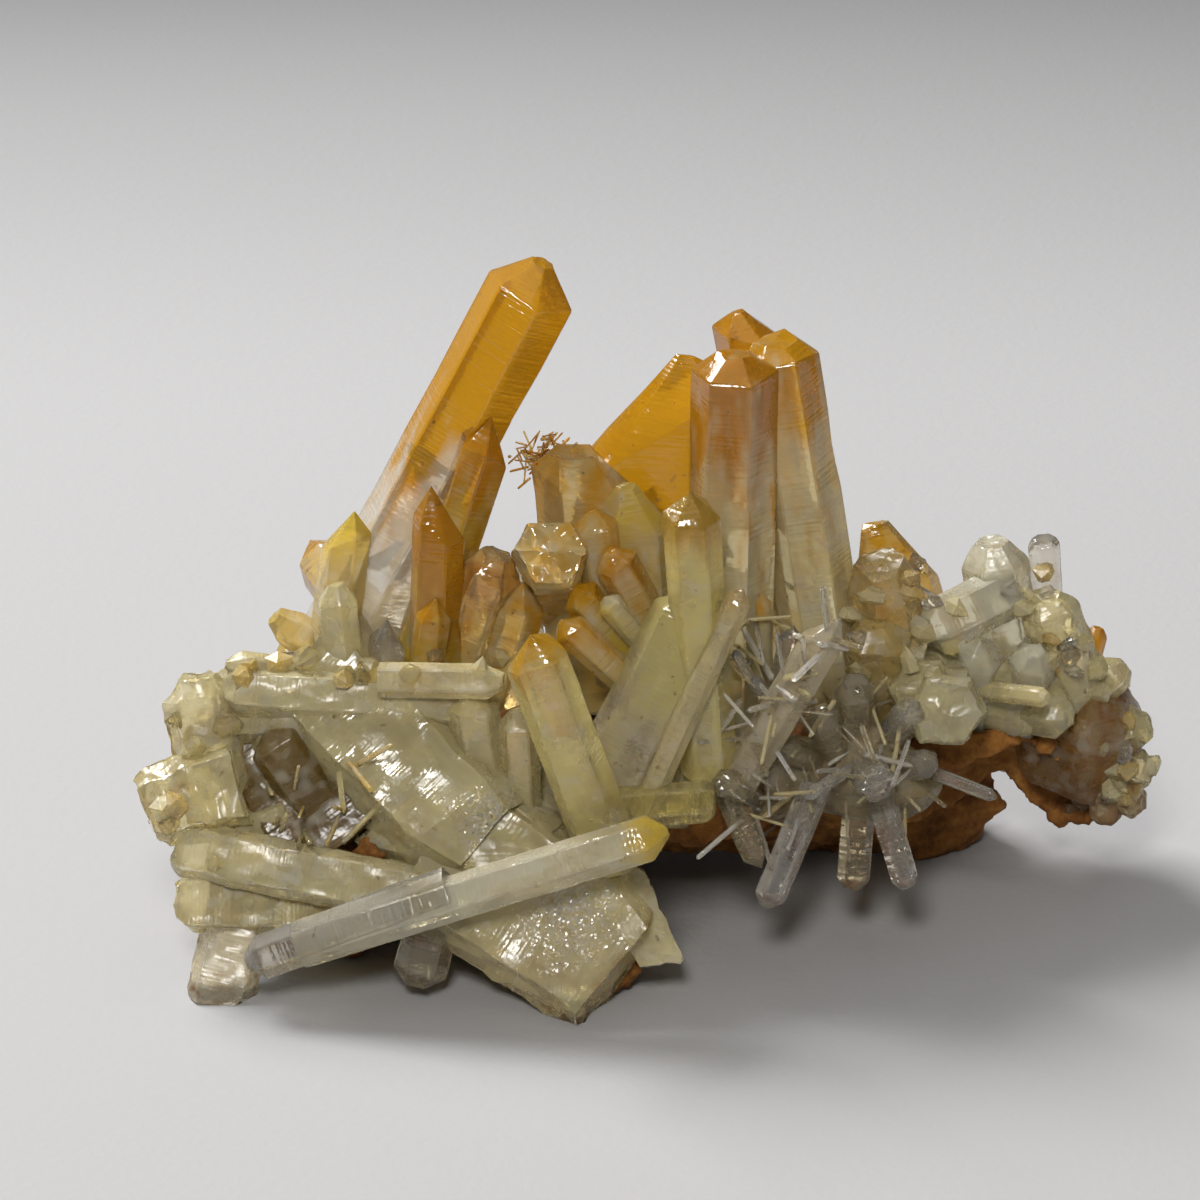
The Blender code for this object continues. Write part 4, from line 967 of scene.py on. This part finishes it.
grey_spray += small_growth((13.0, -10.0), (24.0, -1.0), 24, 234, (3.0, 6.5), (0.25, 0.7), 0.8, SPRAY_LOOKS)
grown_together("grey_clear_spray", grey_spray, soil=(12.0, 14.0))

# The back crust: a row of middling points along the side that the view hides, in three looks by
# turns, with small growth between them.
BACK_CRUST = group(150, [
    at((-29.0, -14.5, 12), (-36.0, -13.0, 20), 7.6, roll=10, point=0.6),
    at((-28.0, -14.0, 13), (-33.0, -10.0, 26), 5.4, roll=20),
    at((-26.0, -13.0, 11), (-31.5, -3.0, 16), 6.4, roll=5),
    at((-23.5, -14.0, 13), (-25.5, -6.0, 25), 8.8, roll=16, slant=2.5, side=90),
    at((-18.5, -14.0, 14), (-17.5, -9.5, 27.5), 5.4, roll=24),
    at((-15.0, -13.0, 13), (-12.5, 1.5, 22), 7.4, roll=8, point=0.6),
    at((-12.0, -14.5, 14), (-12.0, -12.0, 26), 6.4, roll=12, blunt=0.3),
    at((-8.0, -13.5, 14), (-7.5, -1.5, 24.5), 8.4, roll=27, slant=2.0, side=200),
    at((-4.0, -14.5, 14), (-5.0, -10.5, 28), 5.6, roll=6),
    at((0.0, -14.0, 14), (3.0, -5.5, 27), 7.2, roll=18, point=0.55),
    at((3.5, -13.5, 14), (5.5, 1.0, 22), 6.2, roll=11),
    at((7.0, -14.5, 14), (8.5, -12.5, 26.5), 6.4, roll=3, blunt=0.4),
    at((11.0, -13.5, 14), (13.0, -2.5, 26), 8.6, roll=15),
    at((15.5, -14.0, 14.5), (17.0, -9.0, 28), 5.6, roll=22),
    at((20.0, -13.5, 14.5), (24.5, -7.5, 26), 7.6, roll=9, slant=2.0),
    at((25.0, -13.0, 14.5), (30.0, -5.0, 24), 6.6, roll=19),
    at((29.0, -13.5, 14.5), (36.5, -11.5, 24), 6.8, roll=2, blunt=0.3),
])
BACK_STYLES = [
    dict(finish=MILKY_FINISH, body=MILK, stain=YELLOW, zone=(0.7, 1.4)),
    dict(finish=MANGO_FINISH, body=PALE, stain=MANGO, zone=(0.6, 1.1)),
    dict(finish=MANGO_FINISH, body=BEIGE, stain=YELLOW, zone=(0.5, 1.2)),
]
back_crust = crystals([{**BACK_STYLES[i % 3], **row} for i, row in enumerate(BACK_CRUST)])
back_crust += small_growth((-38.0, 9.0), (40.0, 27.0), 130, 242, (1.6, 5.0), (0.8, 2.6),
                           0.5, RIGHT_LOOKS, from_behind=True)
grown_together("back_crystal_crust", back_crust)

# The needle tuft: hair-fine orange and white needles that cross each other in the gap between the
# tall points, grown on the edge of the broken crystal below it.
def bristles(middle, spread, count, lengths, widths, up, seed, **look):
    """Needles that start round a middle point and fan out about the direction up, all in mm."""
    rng = np.random.default_rng(seed)
    starts = np.array(middle) + rng.normal(size=(count, 3)) * spread
    ways = unit(np.array(up) + rng.normal(size=(count, 3)) * 0.75)
    ends = starts + ways * rng.uniform(*lengths, (count, 1))
    return [small_prism(starts[i], ends[i], rng.uniform(*widths), seed * 100 + i, **look)
            for i in range(count)]


TUFT_MIDDLE = np.array((-10.0, 8.0, 48.6)) - BOX_MIDDLE
tuft = bristles(TUFT_MIDDLE, (1.5, 0.8, 1.0), 54, (1.2, 3.0), (0.14, 0.28), (0.05, -0.2, 0.2), 33,
                body=MANGO, stain=ORANGE, zone=(0.1, 0.8), finish=MILKY_FINISH)
tuft += bristles(TUFT_MIDDLE, (1.6, 0.8, 0.9), 26, (1.6, 3.2), (0.18, 0.34), (0.3, -0.1, 0.2), 34,
                 body=BEIGE, stain=MANGO, zone=(0.4, 1.2), finish=MILKY_FINISH)
grown_together("needle_tuft", tuft)

# The host rock: rough iron-stained rock, brown to orange, pitted and crumbly, which shows in the
# hollow on the right, along the middle of the front and underneath.
ROCK_VOXEL = 0.00045


def rough_rock(solid):
    """The rock solid's own skin, made even by a voxel remesh and moved along its normals by waves
    of falling size, with narrow pits where two waves cross."""
    mesh = solid.data.copy()
    piece = bpy.data.objects.new("iron_stained_rock_skin", mesh)
    bpy.context.scene.collection.objects.link(piece)
    weld = piece.modifiers.new("joined", "WELD")
    weld.merge_threshold = 0.00001
    remesh = piece.modifiers.new("even", "REMESH")
    remesh.mode = "VOXEL"
    remesh.voxel_size = ROCK_VOXEL
    graph = bpy.context.evaluated_depsgraph_get()
    even = bpy.data.meshes.new_from_object(piece.evaluated_get(graph), depsgraph=graph)
    piece.modifiers.clear()
    piece.data = even
    even.name = "iron_stained_rock_skin"
    points = np.empty(len(even.vertices) * 3, np.float32)
    even.vertices.foreach_get("co", points)
    normals = np.empty(len(even.vertices) * 3, np.float32)
    even.vertex_normals.foreach_get("vector", normals)
    places = points.reshape(-1, 3).astype(float) / MM
    lift = 0.5 * np.abs(waviness(places, 5.0, 71)) + 0.3 * np.abs(waviness(places, 2.3, 72))
    lift += 0.16 * np.abs(waviness(places, 1.1, 73)) - 0.4
    lift = np.where(places[:, 2] < 0.6, np.minimum(lift, 0.0), lift)
    moved = places + normals.reshape(-1, 3) * lift[:, None]
    moved[:, 2] = np.maximum(moved[:, 2], 0.0)
    even.vertices.foreach_set("co", (moved * MM).astype(np.float32).ravel())
    even.shade_smooth()
    even.update()
    return piece


def rock_finish():
    shader = Shader("iron-stained rock")
    place = shader.place((1.0, 1.0, 1.0))
    broad = shader.noise(place, 90.0, 4.0, 0.6)
    fine = shader.noise(place, 700.0, 5.0, 0.7)
    crumbs = shader.node("ShaderNodeTexVoronoi", {}, {"Vector": place, "Scale": 900.0})
    colour = shader.node("ShaderNodeValToRGB", {"stops": [
        (0.25, (0.05, 0.018, 0.006, 1.0)), (0.42, (0.16, 0.06, 0.014, 1.0)),
        (0.56, (0.36, 0.15, 0.03, 1.0)), (0.72, (0.58, 0.30, 0.08, 1.0))]},
        {"Fac": broad * 0.55 + fine * 0.45})
    shader.put(shader.principled, {
        "Base Color": colour,
        "Roughness": 0.95 - fine * 0.2,
        "Specular IOR Level": 0.3,
        "Normal": shader.bump(fine * 0.6 + crumbs * 0.4, 0.0005, 0.8),
    })
    return shader.material


rock = rough_rock(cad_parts["iron_stained_rock"])
rock.data.materials.clear()
rock.data.materials.append(rock_finish())
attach(rock, "root")
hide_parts("iron_stained_rock")
